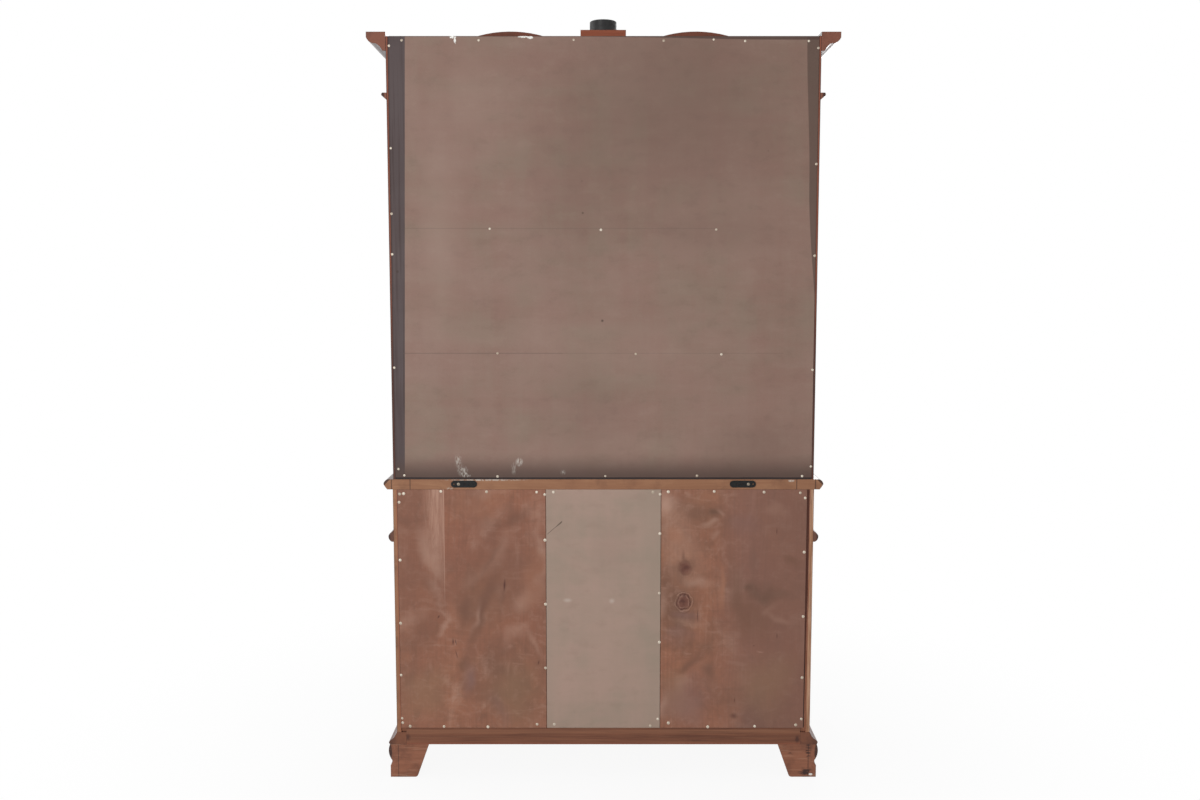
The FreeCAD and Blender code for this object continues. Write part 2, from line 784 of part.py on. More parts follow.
def raised_panel(name, inside, front):
    """Panel with a bevelled, raised field on its front face."""
    left, right, low, high = inside
    tongue = tongue_board(name + "_tongue", inside, front, "tongue_thick")
    field = doc.addObject("Part::Wedge", name + "_field")
    bind(field, Xmin=f"{left} + field_margin", Xmax=f"{right} - field_margin",
         Zmin=f"{low} + field_margin", Zmax=f"{high} - field_margin",
         Ymin="-field_rise", Ymax="0", X2min=left, X2max=right, Z2min=low, Z2max=high)
    place(field, "0", front, "0")
    return joined(name, tongue, field)


def hinge(name, across, axis_deep, middle):
    """Butt hinge on the left-hand edge of an opening: returns its frame half and its door half.

    The frame half holds the pin and the outer knuckles; the door half is the middle knuckle."""
    low = f"{middle} - barrel_tall / 2"
    third = "barrel_tall / 3"
    leaf_front = f"{axis_deep} + barrel_out"
    leaf_back = f"{leaf_front} + leaf_deep"
    frame_near, frame_far = f"{across} - front_gap / 2", f"{across} - front_gap / 2 + leaf_thick"
    door_near, door_far = f"{across} + front_gap / 2 - leaf_thick", f"{across} + front_gap / 2"
    frame_leaf = board(name + "_frame_leaf", frame_near, frame_far, leaf_front, leaf_back,
                       low, f"{low} + barrel_tall")
    door_leaf = board(name + "_door_leaf", door_near, door_far, leaf_front, leaf_back,
                      low, f"{low} + barrel_tall")
    pieces = [frame_leaf, rod(name + "_pin", "pin_radius", "barrel_tall", across, axis_deep, low)]
    for end, foot in (("low", low), ("high", f"{low} + 2 * {third} + knuckle_gap")):
        pieces.append(rod(f"{name}_knuckle_{end}", "barrel_radius", f"{third} - knuckle_gap",
                          across, axis_deep, foot))
        pieces.append(board(f"{name}_bend_{end}", frame_near, frame_far, axis_deep, leaf_front,
                            foot, f"{foot} + {third} - knuckle_gap"))
    frame_half = joined(name + "_frame_half", *pieces)
    sleeve = joined(
        name + "_sleeve",
        door_leaf,
        rod(name + "_knuckle_door", "barrel_radius", third, across, axis_deep, f"{low} + {third}"),
        board(name + "_bend_door", door_near, door_far, axis_deep, leaf_front,
              f"{low} + {third}", f"{low} + 2 * {third}"),
    )
    bore = rod(name + "_bore", "pin_radius + pin_play", "barrel_tall", across, axis_deep, low)
    return frame_half, less(name + "_door_half", sleeve, bore)


HINGE_LEAVES = []


def hung(name, left, low, high, front, inset, count):
    """Hinges down the left-hand edge of an opening: returns their door halves."""
    across = f"{left} + front_gap / 2"
    door_halves = []
    for i in range(count):
        middle = f"{low} + {inset} + {i} * (({high}) - ({low}) - 2 * {inset}) / {count - 1}"
        frame_half, door_half = hinge(f"{name}_hinge_{i}", across, f"{front} - barrel_out", middle)
        HINGE_LEAVES.extend([frame_half, mirrored(frame_half.Name + "_twin", frame_half)])
        door_halves.append(door_half)
    return door_halves


def left_and_right(left_node):
    node(left_node)
    node(mirrored(left_node.Name.replace("left", "right"), left_node))


def base_door():
    name, left, right = "base_door_left", "-bay_outer + front_gap", "-bay_inner - front_gap"
    low, high = "case_floor + front_gap", "door_high - front_gap"
    members, inside = grooved_frame(name, left, right, low, high, "front", "base_door_stile",
                                    "base_door_stile", "front + tongue_inset", "tongue_thick")
    panel = raised_panel(name + "_panel", inside, "front + tongue_inset")
    left_and_right(gathered(name, members + [panel]))
    handle = knob(name + "_knob", f"{right} - knob_inset", f"(({low}) + ({high})) / 2", "front")
    halves = hung(name, "-bay_outer", "case_floor", "door_high", "front", "base_hinge_inset", 2)
    left_and_right(gathered(name + "_fittings", [handle, *halves]))


def hutch_door():
    name, left, right = "hutch_door_left", "-hutch_open + front_gap", "-front_gap / 2"
    low, high = "hutch_low + front_gap", "hutch_high - front_gap"
    glass_front = "hutch_front + door_thick - tongue_inset - glass_thick"
    members, inside = grooved_frame(name, left, right, low, high, "hutch_front", "hutch_door_stile",
                                    "hutch_door_foot", glass_front, "glass_thick")
    inner_left, inner_right, inner_low, inner_high = inside
    middle = f"(({inner_left}) + ({inner_right})) / 2"
    upright = board(name + "_upright", f"{middle} - bar_wide / 2", f"{middle} + bar_wide / 2",
                    "hutch_front + bar_inset", glass_front, inner_low, inner_high)
    bars = [upright]
    for row in range(1, int(value("bar_rows"))):
        level = f"{inner_low} + {row} * (({inner_high}) - ({inner_low})) / bar_rows"
        bars.append(board(f"{name}_bar_{row}", inner_left, inner_right, "hutch_front + bar_inset",
                          glass_front, f"{level} - bar_wide / 2", f"{level} + bar_wide / 2"))
    left_and_right(gathered(name, members + [joined(name + "_bars", *bars)]))
    left_and_right(tongue_board(name + "_glass", inside, glass_front, "glass_thick"))
    handle = knob(name + "_knob", f"{right} - knob_inset", f"{low} + hutch_knob_rise", "hutch_front")
    halves = hung(name, "-hutch_open", "hutch_low", "hutch_high", "hutch_front", "hutch_hinge_inset", 3)
    left_and_right(gathered(name + "_fittings", [handle, *halves]))


base_door()
hutch_door()
node(gathered("hinge_leaves", HINGE_LEAVES))


# ---------------------------------------------------------------- hutch

hutch_side = rabbeted_side("hutch_side_right", "hutch_inner", "hutch_half", "hutch_half - hutch_strip",
                           "hutch_inside_front", "hutch_foot", "hutch_top")
node(hutch_side)
node(mirrored("hutch_side_left", hutch_side))
node(board("hutch_back", "-(hutch_half - hutch_strip)", "hutch_half - hutch_strip", "back_inside", "rear",
           "hutch_foot", "hutch_top"))


def hutch_level(name, low, high, front="hutch_inside_front"):
    return board(name, "-hutch_inner", "hutch_inner", front, "back_inside", low, high)


def hutch_shelf(name, rise):
    middle = f"hutch_foot + {rise}"
    return hutch_level(name, f"{middle} - shelf_thick / 2", f"{middle} + shelf_thick / 2",
                       "hutch_inside_front + fit_gap + shelf_thick")


node(gathered("hutch_shelves", [
    hutch_level("hutch_floor", "hutch_foot", "hutch_foot + hutch_board_thick"),
    hutch_shelf("hutch_low_shelf", "low_shelf_rise"),
    hutch_shelf("hutch_high_shelf", "high_shelf_rise"),
]))
node(hutch_level("hutch_lid", "hutch_top - hutch_lid_thick", "hutch_top"))

ARCH_HALF = "sqrt(arch_radius ^ 2 - (arch_radius - arch_rise) ^ 2)"
ARCH_FOOT = f"arch_middle + {ARCH_HALF}"
ARCH_AT_BLOCK = "arch_level + sqrt(arch_radius ^ 2 - (arch_middle - finial_half) ^ 2)"


def header_outline():
    """Front board over the doors: shoulders, two arches and a notch for the finial block."""
    right = [
        ("hutch_half", "hutch_high"),
        ("hutch_half", "crown_top"),
        (ARCH_FOOT, "crown_top"),
        ("finial_half", ARCH_AT_BLOCK, "arch_radius", 1),
        ("finial_half", "finial_foot"),
    ]
    left = [
        ("-finial_half", "finial_foot"),
        ("-finial_half", ARCH_AT_BLOCK),
        (f"-({ARCH_FOOT})", "crown_top", "arch_radius", 1),
        ("-hutch_half", "crown_top"),
        ("-hutch_half", "hutch_high"),
    ]
    return right + left


def hutch_face_frame():
    stile = board("hutch_stile_right", "hutch_open", "hutch_half", "hutch_front", "hutch_inside_front",
                  "hutch_foot", "hutch_high")
    rail = board("hutch_foot_rail_board", "-hutch_open", "hutch_open", "hutch_front", "hutch_inside_front",
                 "hutch_foot", "hutch_low")
    header = padded("hutch_header", "XZ_Plane", "-(hutch_inside_front)", header_outline(),
                    "hutch_frame_thick")
    return gathered("hutch_face_frame", [stile, mirrored("hutch_stile_left", stile), rail, header])


node(hutch_face_frame())

ASTRAGAL = [
    ("0", "0"),
    ("astragal_neck", "astragal_tall / 2"),
    ("astragal_neck", "astragal_tall", "astragal_tall / 4 + astragal_slack", 1),
    ("0", "astragal_tall"),
]
node(moulding("astragal_moulding", ASTRAGAL, "hutch_top - astragal_drop", "0", "astragal_out",
              "hutch_half", "hutch_front"))

# The crown's profile, out from the wall and up from its foot.
CROWN = [
    ("0", "0"),
    ("crown_lip", "crown_lip_rise"),
    ("crown_cove_out", "crown_cove_top", "crown_cove_radius", -1),
    ("crown_round_foot", "crown_cove_top"),
    ("crown_out", "crown_tall - crown_fascia", "crown_round_radius", 1),
    ("crown_out", "crown_tall"),
    ("0", "crown_tall"),
]
CROWN_FOOT = "crown_top - crown_tall"
# Where the arch's lower edge meets the straight crown's lower edge.
MITRE_LOW = ("arch_middle + sqrt((arch_radius - crown_tall) ^ 2"
             " - (arch_radius - arch_rise - crown_tall) ^ 2)")
# The mitre's line, carried on above and below the moulding.
MITRE_LEAN = f"(({ARCH_FOOT}) - ({MITRE_LOW}))"
OVER = (f"{ARCH_FOOT} + {MITRE_LEAN} * 2", "crown_top + crown_tall * 2")
UNDER = (f"{MITRE_LOW} - {MITRE_LEAN}", f"{CROWN_FOOT} - crown_tall")


def crown_shoulder():
    """Straight front length between the arch and the corner."""
    run = padded("crown_shoulder", "YZ_Plane", "arch_middle",
                 on_wall(turned_over(CROWN), "hutch_front", CROWN_FOOT, "-"),
                 "hutch_half - arch_middle + crown_out")
    trimmed(run, "XY_Plane", [
        ("hutch_half", "hutch_front"),
        ("hutch_half + crown_out + saw_over", "hutch_front - crown_out - saw_over"),
        ("hutch_half + crown_out + saw_over", "hutch_front"),
    ])
    start = "arch_middle - saw_over"
    trimmed(run, "XZ_Plane", [OVER, (start, OVER[1]), (start, UNDER[1]), UNDER])
    return run


def crown_arch():
    """Bent front length over one door, from the finial block to the mitre with the shoulder."""
    body = doc.addObject("PartDesign::Body", "crown_arch")
    sketch = sketch_on(body, "YZ_Plane", "arch_middle")
    draw(sketch, on_wall(turned_over(CROWN), "hutch_front", "arch_level + arch_radius - crown_tall", "-"))
    axis = sketch.addGeometry(Part.LineSegment(Vector(0, 1, 0), Vector(1, 1, 0)), True)
    for end in (1, 2):
        rule = sketch.addConstraint(Sketcher.Constraint("DistanceY", -1, 1, axis, end, value("arch_level")))
        sketch.setExpression(f"Constraints[{rule}]", full("arch_level"))
    spin = body.newObject("PartDesign::Revolution", "crown_arch_spin")
    spin.Profile = sketch
    spin.ReferenceAxis = (sketch, ["Axis0"])
    spin.Angle = ARCH_SWEEP
    spin.Midplane = True
    body.Tip = spin
    doc.recompute()
    far, near = "arch_middle + arch_radius", "arch_middle - arch_radius"
    trimmed(body, "XZ_Plane",
            [OVER, UNDER, (UNDER[0], "arch_level"), (far, "arch_level"), (far, OVER[1])],
            [("finial_half", "crown_top + arch_radius"), ("finial_half", "arch_level"),
             (near, "arch_level"), (near, "crown_top + arch_radius")])
    return body


front_crown = [crown_shoulder(), crown_arch()]
node(gathered("crown_moulding", [
    *moulded_sides("crown", CROWN, CROWN_FOOT, "0", "crown_out", "hutch_half", "hutch_front"),
    *front_crown,
    *[mirrored(piece.Name + "_left", piece) for piece in front_crown],
]))

FINIAL_FRONT = "(hutch_front - crown_out - finial_proud)"
node(board("finial_block", "-finial_half", "finial_half", FINIAL_FRONT, "hutch_inside_front",
           "finial_foot", "crown_top + finial_top"))


def finial_drum():
    """Low round seat for the finial, with its upper edge eased."""
    body = doc.addObject("PartDesign::Body", "finial_drum")
    sketch = sketch_on(body, "XZ_Plane", "0")
    draw(sketch, [
        ("0", "0"),
        ("drum_radius", "0"),
        ("drum_radius", "drum_tall - drum_round"),
        ("drum_radius - drum_round", "drum_tall", "drum_round", 1),
        ("0", "drum_tall"),
    ])
    spin = body.newObject("PartDesign::Revolution", "finial_drum_spin")
    spin.Profile = sketch
    spin.ReferenceAxis = (sketch, ["V_Axis"])
    spin.Angle = 360
    body.Tip = spin
    place(body, "0", f"({FINIAL_FRONT} + hutch_inside_front) / 2", "crown_top + finial_top")
    return body


node(finial_drum())


# ---------------------------------------------------------------- mending plates and screws

def mending_plate():
    """Right-hand plate, lying along the rear edge of the top; it turns on its outer screw."""
    front, back = "rear + plate_gap", "rear + plate_gap + plate_thick"
    radius = "plate_wide / 2"
    near, far = "plate_pivot + plate_long - plate_far", "plate_pivot - plate_far"
    level = "nose_level"
    ends = [rod(f"plate_end_{name}", radius, "plate_thick", across, front, level, ALONG_Y)
            for name, across in (("near", f"{near} - {radius}"), ("far", f"{far} + {radius}"))]
    strap = board("plate_strap", f"{far} + {radius}", f"{near} - {radius}", front, back,
                  f"{level} - {radius}", f"{level} + {radius}")
    holes = [rod(f"plate_hole_{i}", "plate_hole_radius", "plate_thick", across, front, level, ALONG_Y)
             for i, across in enumerate((
                 "plate_pivot",
                 "plate_pivot + plate_hole_step",
                 f"{near} - (plate_pivot - ({far}))",
                 f"{near} - (plate_pivot - ({far})) + plate_hole_step"))]
    return less("mending_plate_right", joined("plate_blank", strap, *ends), joined("plate_holes", *holes))


plate = mending_plate()
node(plate)
node(mirrored("mending_plate_left", plate))

# The screws were driven by hand, so their steps differ. In a row, each is a share of the half width
# and how far it stands above the row; in a column, a share of the height and how far right it stands.
HUTCH_TOP_ROW = ((0.926, 1), (0.573, 1), (0.137, 2), (-0.276, 0), (-0.505, 3), (-0.649, -1), (-0.941, -1))
HUTCH_HIGH_SHELF_ROW = ((0.530, -1), (0.012, -4), (-0.525, -3))
HUTCH_LOW_SHELF_ROW = ((0.499, 0), (-0.152, -2), (-0.555, -3))
HUTCH_FOOT_ROW = ((0.947, -1), (0.504, -4), (-0.009, -3), (-0.445, -2), (-0.945, -3))
BASE_TOP_ROW = ((0.943, -4), (0.772, 2), (0.555, 1), (0.317, 0), (0.238, 0),
                (-0.235, 0), (-0.308, 1), (-0.526, 2), (-0.763, 0), (-0.935, -2))
BASE_FOOT_ROW = ((0.970, 4), (0.936, -1), (0.772, -2), (0.559, -3), (0.321, 5), (0.238, 5),
                 (-0.227, 0), (-0.315, 9), (-0.506, -3), (-0.733, -1), (-0.932, 3))
HUTCH_RIGHT_COLUMN = ((0.979, -1), (0.754, -1), (0.608, 0), (0.517, 0), (0.259, 0), (0.024, -7))
HUTCH_LEFT_COLUMN = ((0.974, 0), (0.719, 0), (0.514, 0), (0.254, 0), (0.030, 0))
BASE_RIGHT_COLUMN = ((0.981, -4), (0.947, -1), (0.708, -1), (0.444, 1), (0.225, 2), (0.038, 1))
BASE_LEFT_COLUMN = ((0.965, 0), (0.741, 0), (0.472, 0), (0.214, 0), (0.038, 0))
RIGHT_SEAM = ((0.979, 0), (0.791, 0), (0.524, -1), (0.255, 0))
LEFT_SEAM = ((0.980, 0), (0.818, 0), (0.570, 1), (0.364, 0), (0.038, 3.5))


def screw_places():
    """Across and up of every wood screw of the backs."""
    places = []
    for half, level, screws in (
        ("hutch_half", "hutch_top - hutch_row_inset", HUTCH_TOP_ROW),
        ("hutch_half", "hutch_foot + high_shelf_rise", HUTCH_HIGH_SHELF_ROW),
        ("hutch_half", "hutch_foot + low_shelf_rise", HUTCH_LOW_SHELF_ROW),
        ("hutch_half", "hutch_foot + hutch_row_inset", HUTCH_FOOT_ROW),
        ("base_half", "case_top - top_row_drop", BASE_TOP_ROW),
        ("base_half", "case_foot + foot_row_rise", BASE_FOOT_ROW),
    ):
        places += [(share * value(half), value(level) + lift) for share, lift in screws]
    for across, foot, tall, screws in (
        ("hutch_half - hutch_strip - hutch_column_inset", "hutch_foot", "hutch_tall", HUTCH_RIGHT_COLUMN),
        ("hutch_column_inset + hutch_strip - hutch_half", "hutch_foot", "hutch_tall", HUTCH_LEFT_COLUMN),
        ("panel_edge - right_column_inset", "case_foot", "case_tall", BASE_RIGHT_COLUMN),
        ("left_column_inset + left_back_short - panel_edge", "case_foot", "case_tall", BASE_LEFT_COLUMN),
        ("seam_half + seam_screw_shift", "case_foot", "case_tall", RIGHT_SEAM),
        ("-seam_half + seam_screw_shift", "case_foot", "case_tall", LEFT_SEAM),
    ):
        places += [(value(across) + shift, value(foot) + share * value(tall)) for share, shift in screws]
    return places


def screw_shape(shank, under_head):
    """Round-headed screw pointing into the piece, with the underside of its head at y = 0."""
    ball = value("(head_radius ^ 2 + head_tall ^ 2) / (2 * head_tall)")
    head = Part.makeSphere(ball, Vector(0, value("head_tall") - ball, 0))
    around = Part.makeBox(2 * ball, ball, 2 * ball, Vector(-ball, 0, -ball))
    long = value("screw_long")
    stem = Part.makeCylinder(shank, long + under_head, Vector(0, -long, 0), Vector(0, 1, 0))
    return head.common(around).translated(Vector(0, under_head, 0)).fuse(stem).removeSplitter()


def back_screws():
    """All wood screws of the back, and the two that the mending plates turn on."""
    plain = screw_shape(value("shank_radius"), 0)
    pivot = screw_shape(value("pivot_shank"), value("2 * plate_gap + plate_thick"))
    rear = value("rear")
    solids = [plain.translated(Vector(across, rear, up)) for across, up in screw_places()]
    for side in (1, -1):
        solids.append(pivot.translated(Vector(side * value("plate_pivot"), rear, value("nose_level"))))
    group = doc.addObject("Part::Feature", "back_screws")
    group.Shape = Part.makeCompound(solids)
    group.Placement = Placement()
    return group


node(back_screws())


# ---------------------------------------------------------------- check and write

def faults():
    """Objects that did not recompute, and nodes without a sound shape."""
    found = [thing.Name for thing in doc.Objects if {"Invalid", "Error"} & set(thing.State)]
    for thing in NODES:
        if thing.Shape.isNull() or not thing.Shape.isValid() or not thing.Shape.Solids:
            found.append(thing.Label)
    return found


doc.recompute()
if faults():
    raise RuntimeError("not sound: " + ", ".join(faults()))
os.makedirs("parts", exist_ok=True)
for thing in NODES:
    thing.Shape.exportStep(os.path.join("parts", thing.Label + ".step"))
box = Part.makeCompound([thing.Shape for thing in NODES]).BoundBox
print(f"{len(NODES)} nodes, {sum(len(thing.Shape.Solids) for thing in NODES)} solids")
print(f"x {box.XMin:.2f} {box.XMax:.2f}  y {box.YMin:.2f} {box.YMax:.2f}  z {box.ZMin:.2f} {box.ZMax:.2f}")
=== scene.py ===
"""Visual model of the china cabinet: finishes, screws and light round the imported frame.

Metres. Z is up, the front faces -Y and the back faces +Y; left and right are as seen from
the front.
"""
import math
from functools import partial
import bpy
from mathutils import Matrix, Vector


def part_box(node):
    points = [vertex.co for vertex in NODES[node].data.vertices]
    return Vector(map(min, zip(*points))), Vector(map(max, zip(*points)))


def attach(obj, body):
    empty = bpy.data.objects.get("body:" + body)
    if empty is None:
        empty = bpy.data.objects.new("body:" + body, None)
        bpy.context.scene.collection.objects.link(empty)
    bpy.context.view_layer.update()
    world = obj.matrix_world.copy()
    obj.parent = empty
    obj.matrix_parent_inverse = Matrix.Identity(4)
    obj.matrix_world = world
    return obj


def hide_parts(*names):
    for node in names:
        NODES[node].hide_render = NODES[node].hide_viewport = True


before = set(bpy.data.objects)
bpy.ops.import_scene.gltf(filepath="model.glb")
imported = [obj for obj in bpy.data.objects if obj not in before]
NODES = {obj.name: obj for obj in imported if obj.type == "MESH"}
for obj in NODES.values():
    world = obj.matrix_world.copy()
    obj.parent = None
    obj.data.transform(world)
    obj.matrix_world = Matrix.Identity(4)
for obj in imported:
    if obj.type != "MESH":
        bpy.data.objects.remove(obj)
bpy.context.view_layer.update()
SCENE = bpy.context.scene


# ---------------- colours, as seen in daylight (0-255)

BOARD_BROWN = (142, 115, 103)
BOARD_GREEN = (137, 117, 103)
BOARD_RED = (137, 105, 94)
BOARD_LIGHT = (156, 132, 119)
BOARD_DARK = (110, 87, 76)
BOARD_SHADE = (78, 67, 68)
BOARD_PALE = (164, 140, 126)
BOARD_PINK = (172, 144, 131)
BOARD_OLIVE = (152, 136, 121)
BOARD_BAND = (92, 74, 66)
# The next two are painted shade at the foot and under the top edge of the hutch's back.
BOARD_FOOT_SHADE = (80, 62, 55)
BOARD_TOP_SHADE = (80, 61, 55)
PENCIL_GREY = (92, 76, 70)
SCRATCH_BROWN = (84, 68, 58)
PLY_RED = (146, 96, 76)
PLY_ORANGE = (162, 111, 86)
PLY_BROWN = (114, 80, 64)
PLY_MAUVE = (126, 94, 86)
PLY_PALE = (178, 142, 124)
PLY_OLIVE = (140, 108, 84)
PLY_SMUDGE = (92, 68, 54)
PLY_FLARE = (192, 152, 132)
KNOT_HEART = (112, 68, 58)
KNOT_DARK = (78, 44, 38)
EDGE_TAN = (163, 119, 88)
EDGE_STREAK = (138, 94, 68)
EDGE_DARK = (94, 62, 48)
STRIP_RED = (146, 84, 62)
STRIP_PALE = (196, 156, 130)
STRIP_OPEN = (112, 60, 44)
RAIL_BROWN = (126, 80, 58)
RAIL_STREAK = (104, 62, 45)
RAIL_DARK = (74, 44, 35)
RAIL_PALE = (152, 108, 82)
SCRAPE_PALE = (186, 148, 122)
SAWN_DARK = (78, 48, 40)
# Dark lines and rims of the wood, also used as painted shadow lines in the gaps beside back panels.
DARK_LINE_AND_SHADOW = (52, 33, 29)
FINISH_DARK = (50, 23, 15)
FINISH_WARM = (106, 50, 30)
FINISH_PORE = (24, 12, 9)
FINISH_RUBBED = (138, 78, 50)
INSIDE_BROWN = (118, 70, 47)
INSIDE_STREAK = (88, 50, 34)
DUST_WHITE = (226, 222, 212)
TORN_WHITE = (244, 242, 236)
SPECK_DARK = (62, 48, 42)
# Painted shadow: the gap line at the foot of the hutch's back, and the beds behind the mending plates,
# there with dirt.
PAINTED_SHADOW_BLACK = (34, 24, 24)
SCREW_PALE = (214, 204, 188)
SCREW_AGED = (158, 140, 120)
SCREW_DULL = (120, 108, 92)
GLASS_TINT = (238, 246, 243)

# Bare woods, each as its ground tone, its streaks and its blots.
EDGE_WOOD = (EDGE_TAN, EDGE_STREAK, EDGE_DARK)
STRIP_WOOD = (STRIP_RED, (112, 62, 47), EDGE_DARK)
SAWN_WOOD = ((138, 88, 70), (112, 66, 52), SAWN_DARK)
PLINTH_WOOD = (RAIL_BROWN, RAIL_STREAK, SAWN_DARK)
WAIST_WOOD = ((110, 74, 60), (86, 56, 46), SAWN_DARK)
FOOT_WOOD = ((154, 101, 77), (124, 78, 58), (90, 56, 44))
BLOCK_WOOD = ((170, 98, 70), (150, 80, 56), (118, 62, 46))
ARCH_WOOD = ((140, 84, 64), (116, 64, 48), EDGE_DARK)
RAIL_WOOD = (RAIL_BROWN, RAIL_STREAK, RAIL_DARK)
CASE_WOOD = ((150, 108, 80), (112, 76, 54), EDGE_DARK)
BOX_WOOD = ((205, 172, 132), (178, 140, 100), (150, 112, 76))

# Metals and black paint, each as its tone and its tarnish.
BRASS = ((176, 138, 74), (128, 94, 46))
BLACK_STEEL = ((24, 25, 24), (15, 16, 16))
DRUM_BLACK = ((36, 37, 37), (24, 24, 25))
PEG_STEEL = ((170, 168, 164), (120, 118, 114))

REAR, UP, DOWN, RIGHT, LEFT = (0, 1, 0), (0, 0, 1), (0, 0, -1), (1, 0, 0), (-1, 0, 0)

# Turns that bring the grain, which a group draws along Z, along another axis of the piece.
GRAIN_TURNS = {"x": (0, math.pi / 2, 0), "y": (math.pi / 2, 0, 0), "z": (0, 0, 0)}

# Rails of the face frames: X, Z, half width and half height.
HUTCH_FRAME_RAILS = [(0, 0.904, 0.565, 0.045), (0, 2.185, 0.700, 0.200)]
BASE_FRAME_RAILS = [
    (0, 0.139, 0.573, 0.033),
    (0, 0.7345, 0.573, 0.0225),
    (0, 0.874, 0.573, 0.020),
    (0, 0.3487, 0.151, 0.010),
    (0, 0.5353, 0.151, 0.010),
]

# Sockets of these names carry something else than a plain number.
SOCKET_KINDS = {
    "Geometry": "NodeSocketGeometry",
    "Seed": "NodeSocketInt",
    **dict.fromkeys(("Vector", "Middle", "Half", "Direction", "Normal"), "NodeSocketVector"),
}


# ---------------- short calls for node trees

def feed(socket, given):
    """Link the socket to another one, or set its own value."""
    if isinstance(given, bpy.types.NodeSocket):
        socket.id_data.links.new(given, socket)
    else:
        socket.default_value = given


def add(tree, kind, *given, **settings):
    """Add a node with its settings, feed its inputs in order (None skips one), return its first output."""
    made = tree.nodes.new(kind)
    for name, setting in settings.items():
        setattr(made, name, setting)
    for socket, value in zip([socket for socket in made.inputs if socket.enabled], given):
        if value is not None:
            feed(socket, value)
    return next(socket for socket in made.outputs if socket.enabled)


def grow(kind, *given, **settings):
    """Add a node to the tree that the given sockets belong to."""
    tree = next(value.id_data for value in given if isinstance(value, bpy.types.NodeSocket))
    return add(tree, kind, *given, **settings)


def place(tree, kind, **given):
    """Add a node and feed its inputs by name, with _ for a space: returns the node."""
    made = tree.nodes.new(kind)
    for title, value in given.items():
        feed(made.inputs[title.replace("_", " ")], value)
    return made


def maths(operation, *values):
    return grow("ShaderNodeMath", *values, operation=operation)


plus = partial(maths, "ADD")
minus = partial(maths, "SUBTRACT")
times = partial(maths, "MULTIPLY")
larger = partial(maths, "MAXIMUM")
below = partial(maths, "LESS_THAN")
above = partial(maths, "GREATER_THAN")
unsigned = partial(maths, "ABSOLUTE")
root = partial(maths, "SQRT")
combined = partial(grow, "ShaderNodeCombineXYZ")


def average(first, second):
    return times(plus(first, second), 0.5)


def vectors(operation, *values):
    return grow("ShaderNodeVectorMath", *values, operation=operation)


def measured(operation, *values):
    """A vector operation that gives a number."""
    return vectors(operation, *values).node.outputs["Value"]


def parts_of(vector):
    """X, Y and Z of a vector."""
    return place(vector.id_data, "ShaderNodeSeparateXYZ", Vector=vector).outputs


def across_up(vector):
    """X and Z of a vector."""
    across, deep, up = parts_of(vector)
    return across, up


def mixed(share, first, second, kind="FLOAT"):
    """First value where the share is 0 and second where it is 1."""
    return grow("ShaderNodeMix", share, first, second, data_type=kind)


def tinted(share, first, second):
    return mixed(share, first, second, "RGBA")


def ranged(value, low, high, out_low=0.0, out_high=1.0, kind="SMOOTHSTEP"):
    """Step from one range to another, held at its ends."""
    return grow("ShaderNodeMapRange", value, low, high, out_low, out_high, interpolation_type=kind)


def stretched(vector, scale, turn=(0, 0, 0)):
    """The vector scaled along each axis, and turned."""
    return grow("ShaderNodeMapping", vector, None, turn, scale)


def clouds(vector, scale, detail=3.0, roughness=0.5, distortion=0.0):
    return grow("ShaderNodeTexNoise", vector, scale, detail, roughness, 2.0, distortion)


def strands(vector, scale, detail=3.0, roughness=0.5, distortion=0.0, turn=(0, 0, 0)):
    """Clouds with a scale of their own along each axis, for streaks that run one way."""
    return clouds(stretched(vector, scale, turn), 1.0, detail, roughness, distortion)


def drifted(vector, scale, reach):
    """The vector moved about by clouds, so that a mark laid on it bends."""
    cloud = clouds(vector, scale, 2.0).node.outputs["Color"]
    shift = vectors("SUBTRACT", cloud, (0.5, 0.5, 0.5))
    return vectors("ADD", vector, vectors("SCALE", shift, reach))


def group(name, inputs, outputs, tree_kind="ShaderNodeTree"):
    """A new node group, its inputs given with defaults: returns its tree and both sets of sockets."""
    tree = bpy.data.node_groups.new(name, tree_kind)
    for way, titles in (("INPUT", inputs), ("OUTPUT", outputs)):
        for title in titles:
            kind = SOCKET_KINDS.get(title, "NodeSocketFloat")
            socket = tree.interface.new_socket(name=title, in_out=way, socket_type=kind)
            if way == "INPUT" and inputs[title] is not None:
                socket.default_value = inputs[title]
    entry = tree.nodes.new("NodeGroupInput")
    leave = tree.nodes.new("NodeGroupOutput")
    return tree, entry.outputs, leave.inputs


def use(made_group, where, **given):
    """Lay a group on a place in a material: returns its output sockets by name."""
    laid = where.id_data.nodes.new("ShaderNodeGroup")
    laid.node_tree = made_group
    if "Vector" in laid.inputs:
        feed(laid.inputs["Vector"], where)
    for title, value in given.items():
        feed(laid.inputs[title], value)
    return laid.outputs


# ---------------- shared effects

def grain_group():
    """Sawn grain along Z of the vector: fine streaks, broad figure and dark pores."""
    tree, given, out = group("board_grain", {"Vector": None, "Wander": 0.03, "Rings": 0.3},
                             ("Streaks", "Figure", "Pores"))
    drift = clouds(stretched(given["Vector"], (3, 3, 0.8)), 2.0, 2.0)
    shift = times(minus(drift, 0.5), given["Wander"])
    bent = vectors("ADD", given["Vector"], combined(shift, shift, 0.0))
    narrow = strands(bent, (420, 420, 9), 4.0, 0.6)
    medium = strands(bent, (110, 110, 3), 3.0, 0.6)
    feed(out["Streaks"], average(narrow, medium))
    leaning = stretched(bent, (1, 0.35, 0.06))
    rings = grow("ShaderNodeTexWave", leaning, 26.0, 5.0, 3.0, 1.4, 0.6,
                 wave_type="BANDS", bands_direction="X")
    feed(out["Figure"], mixed(given["Rings"], strands(bent, (14, 14, 1.3)), rings))
    feed(out["Pores"], ranged(strands(bent, (1500, 1500, 60), 2.0), 0.60, 0.74))
    return tree


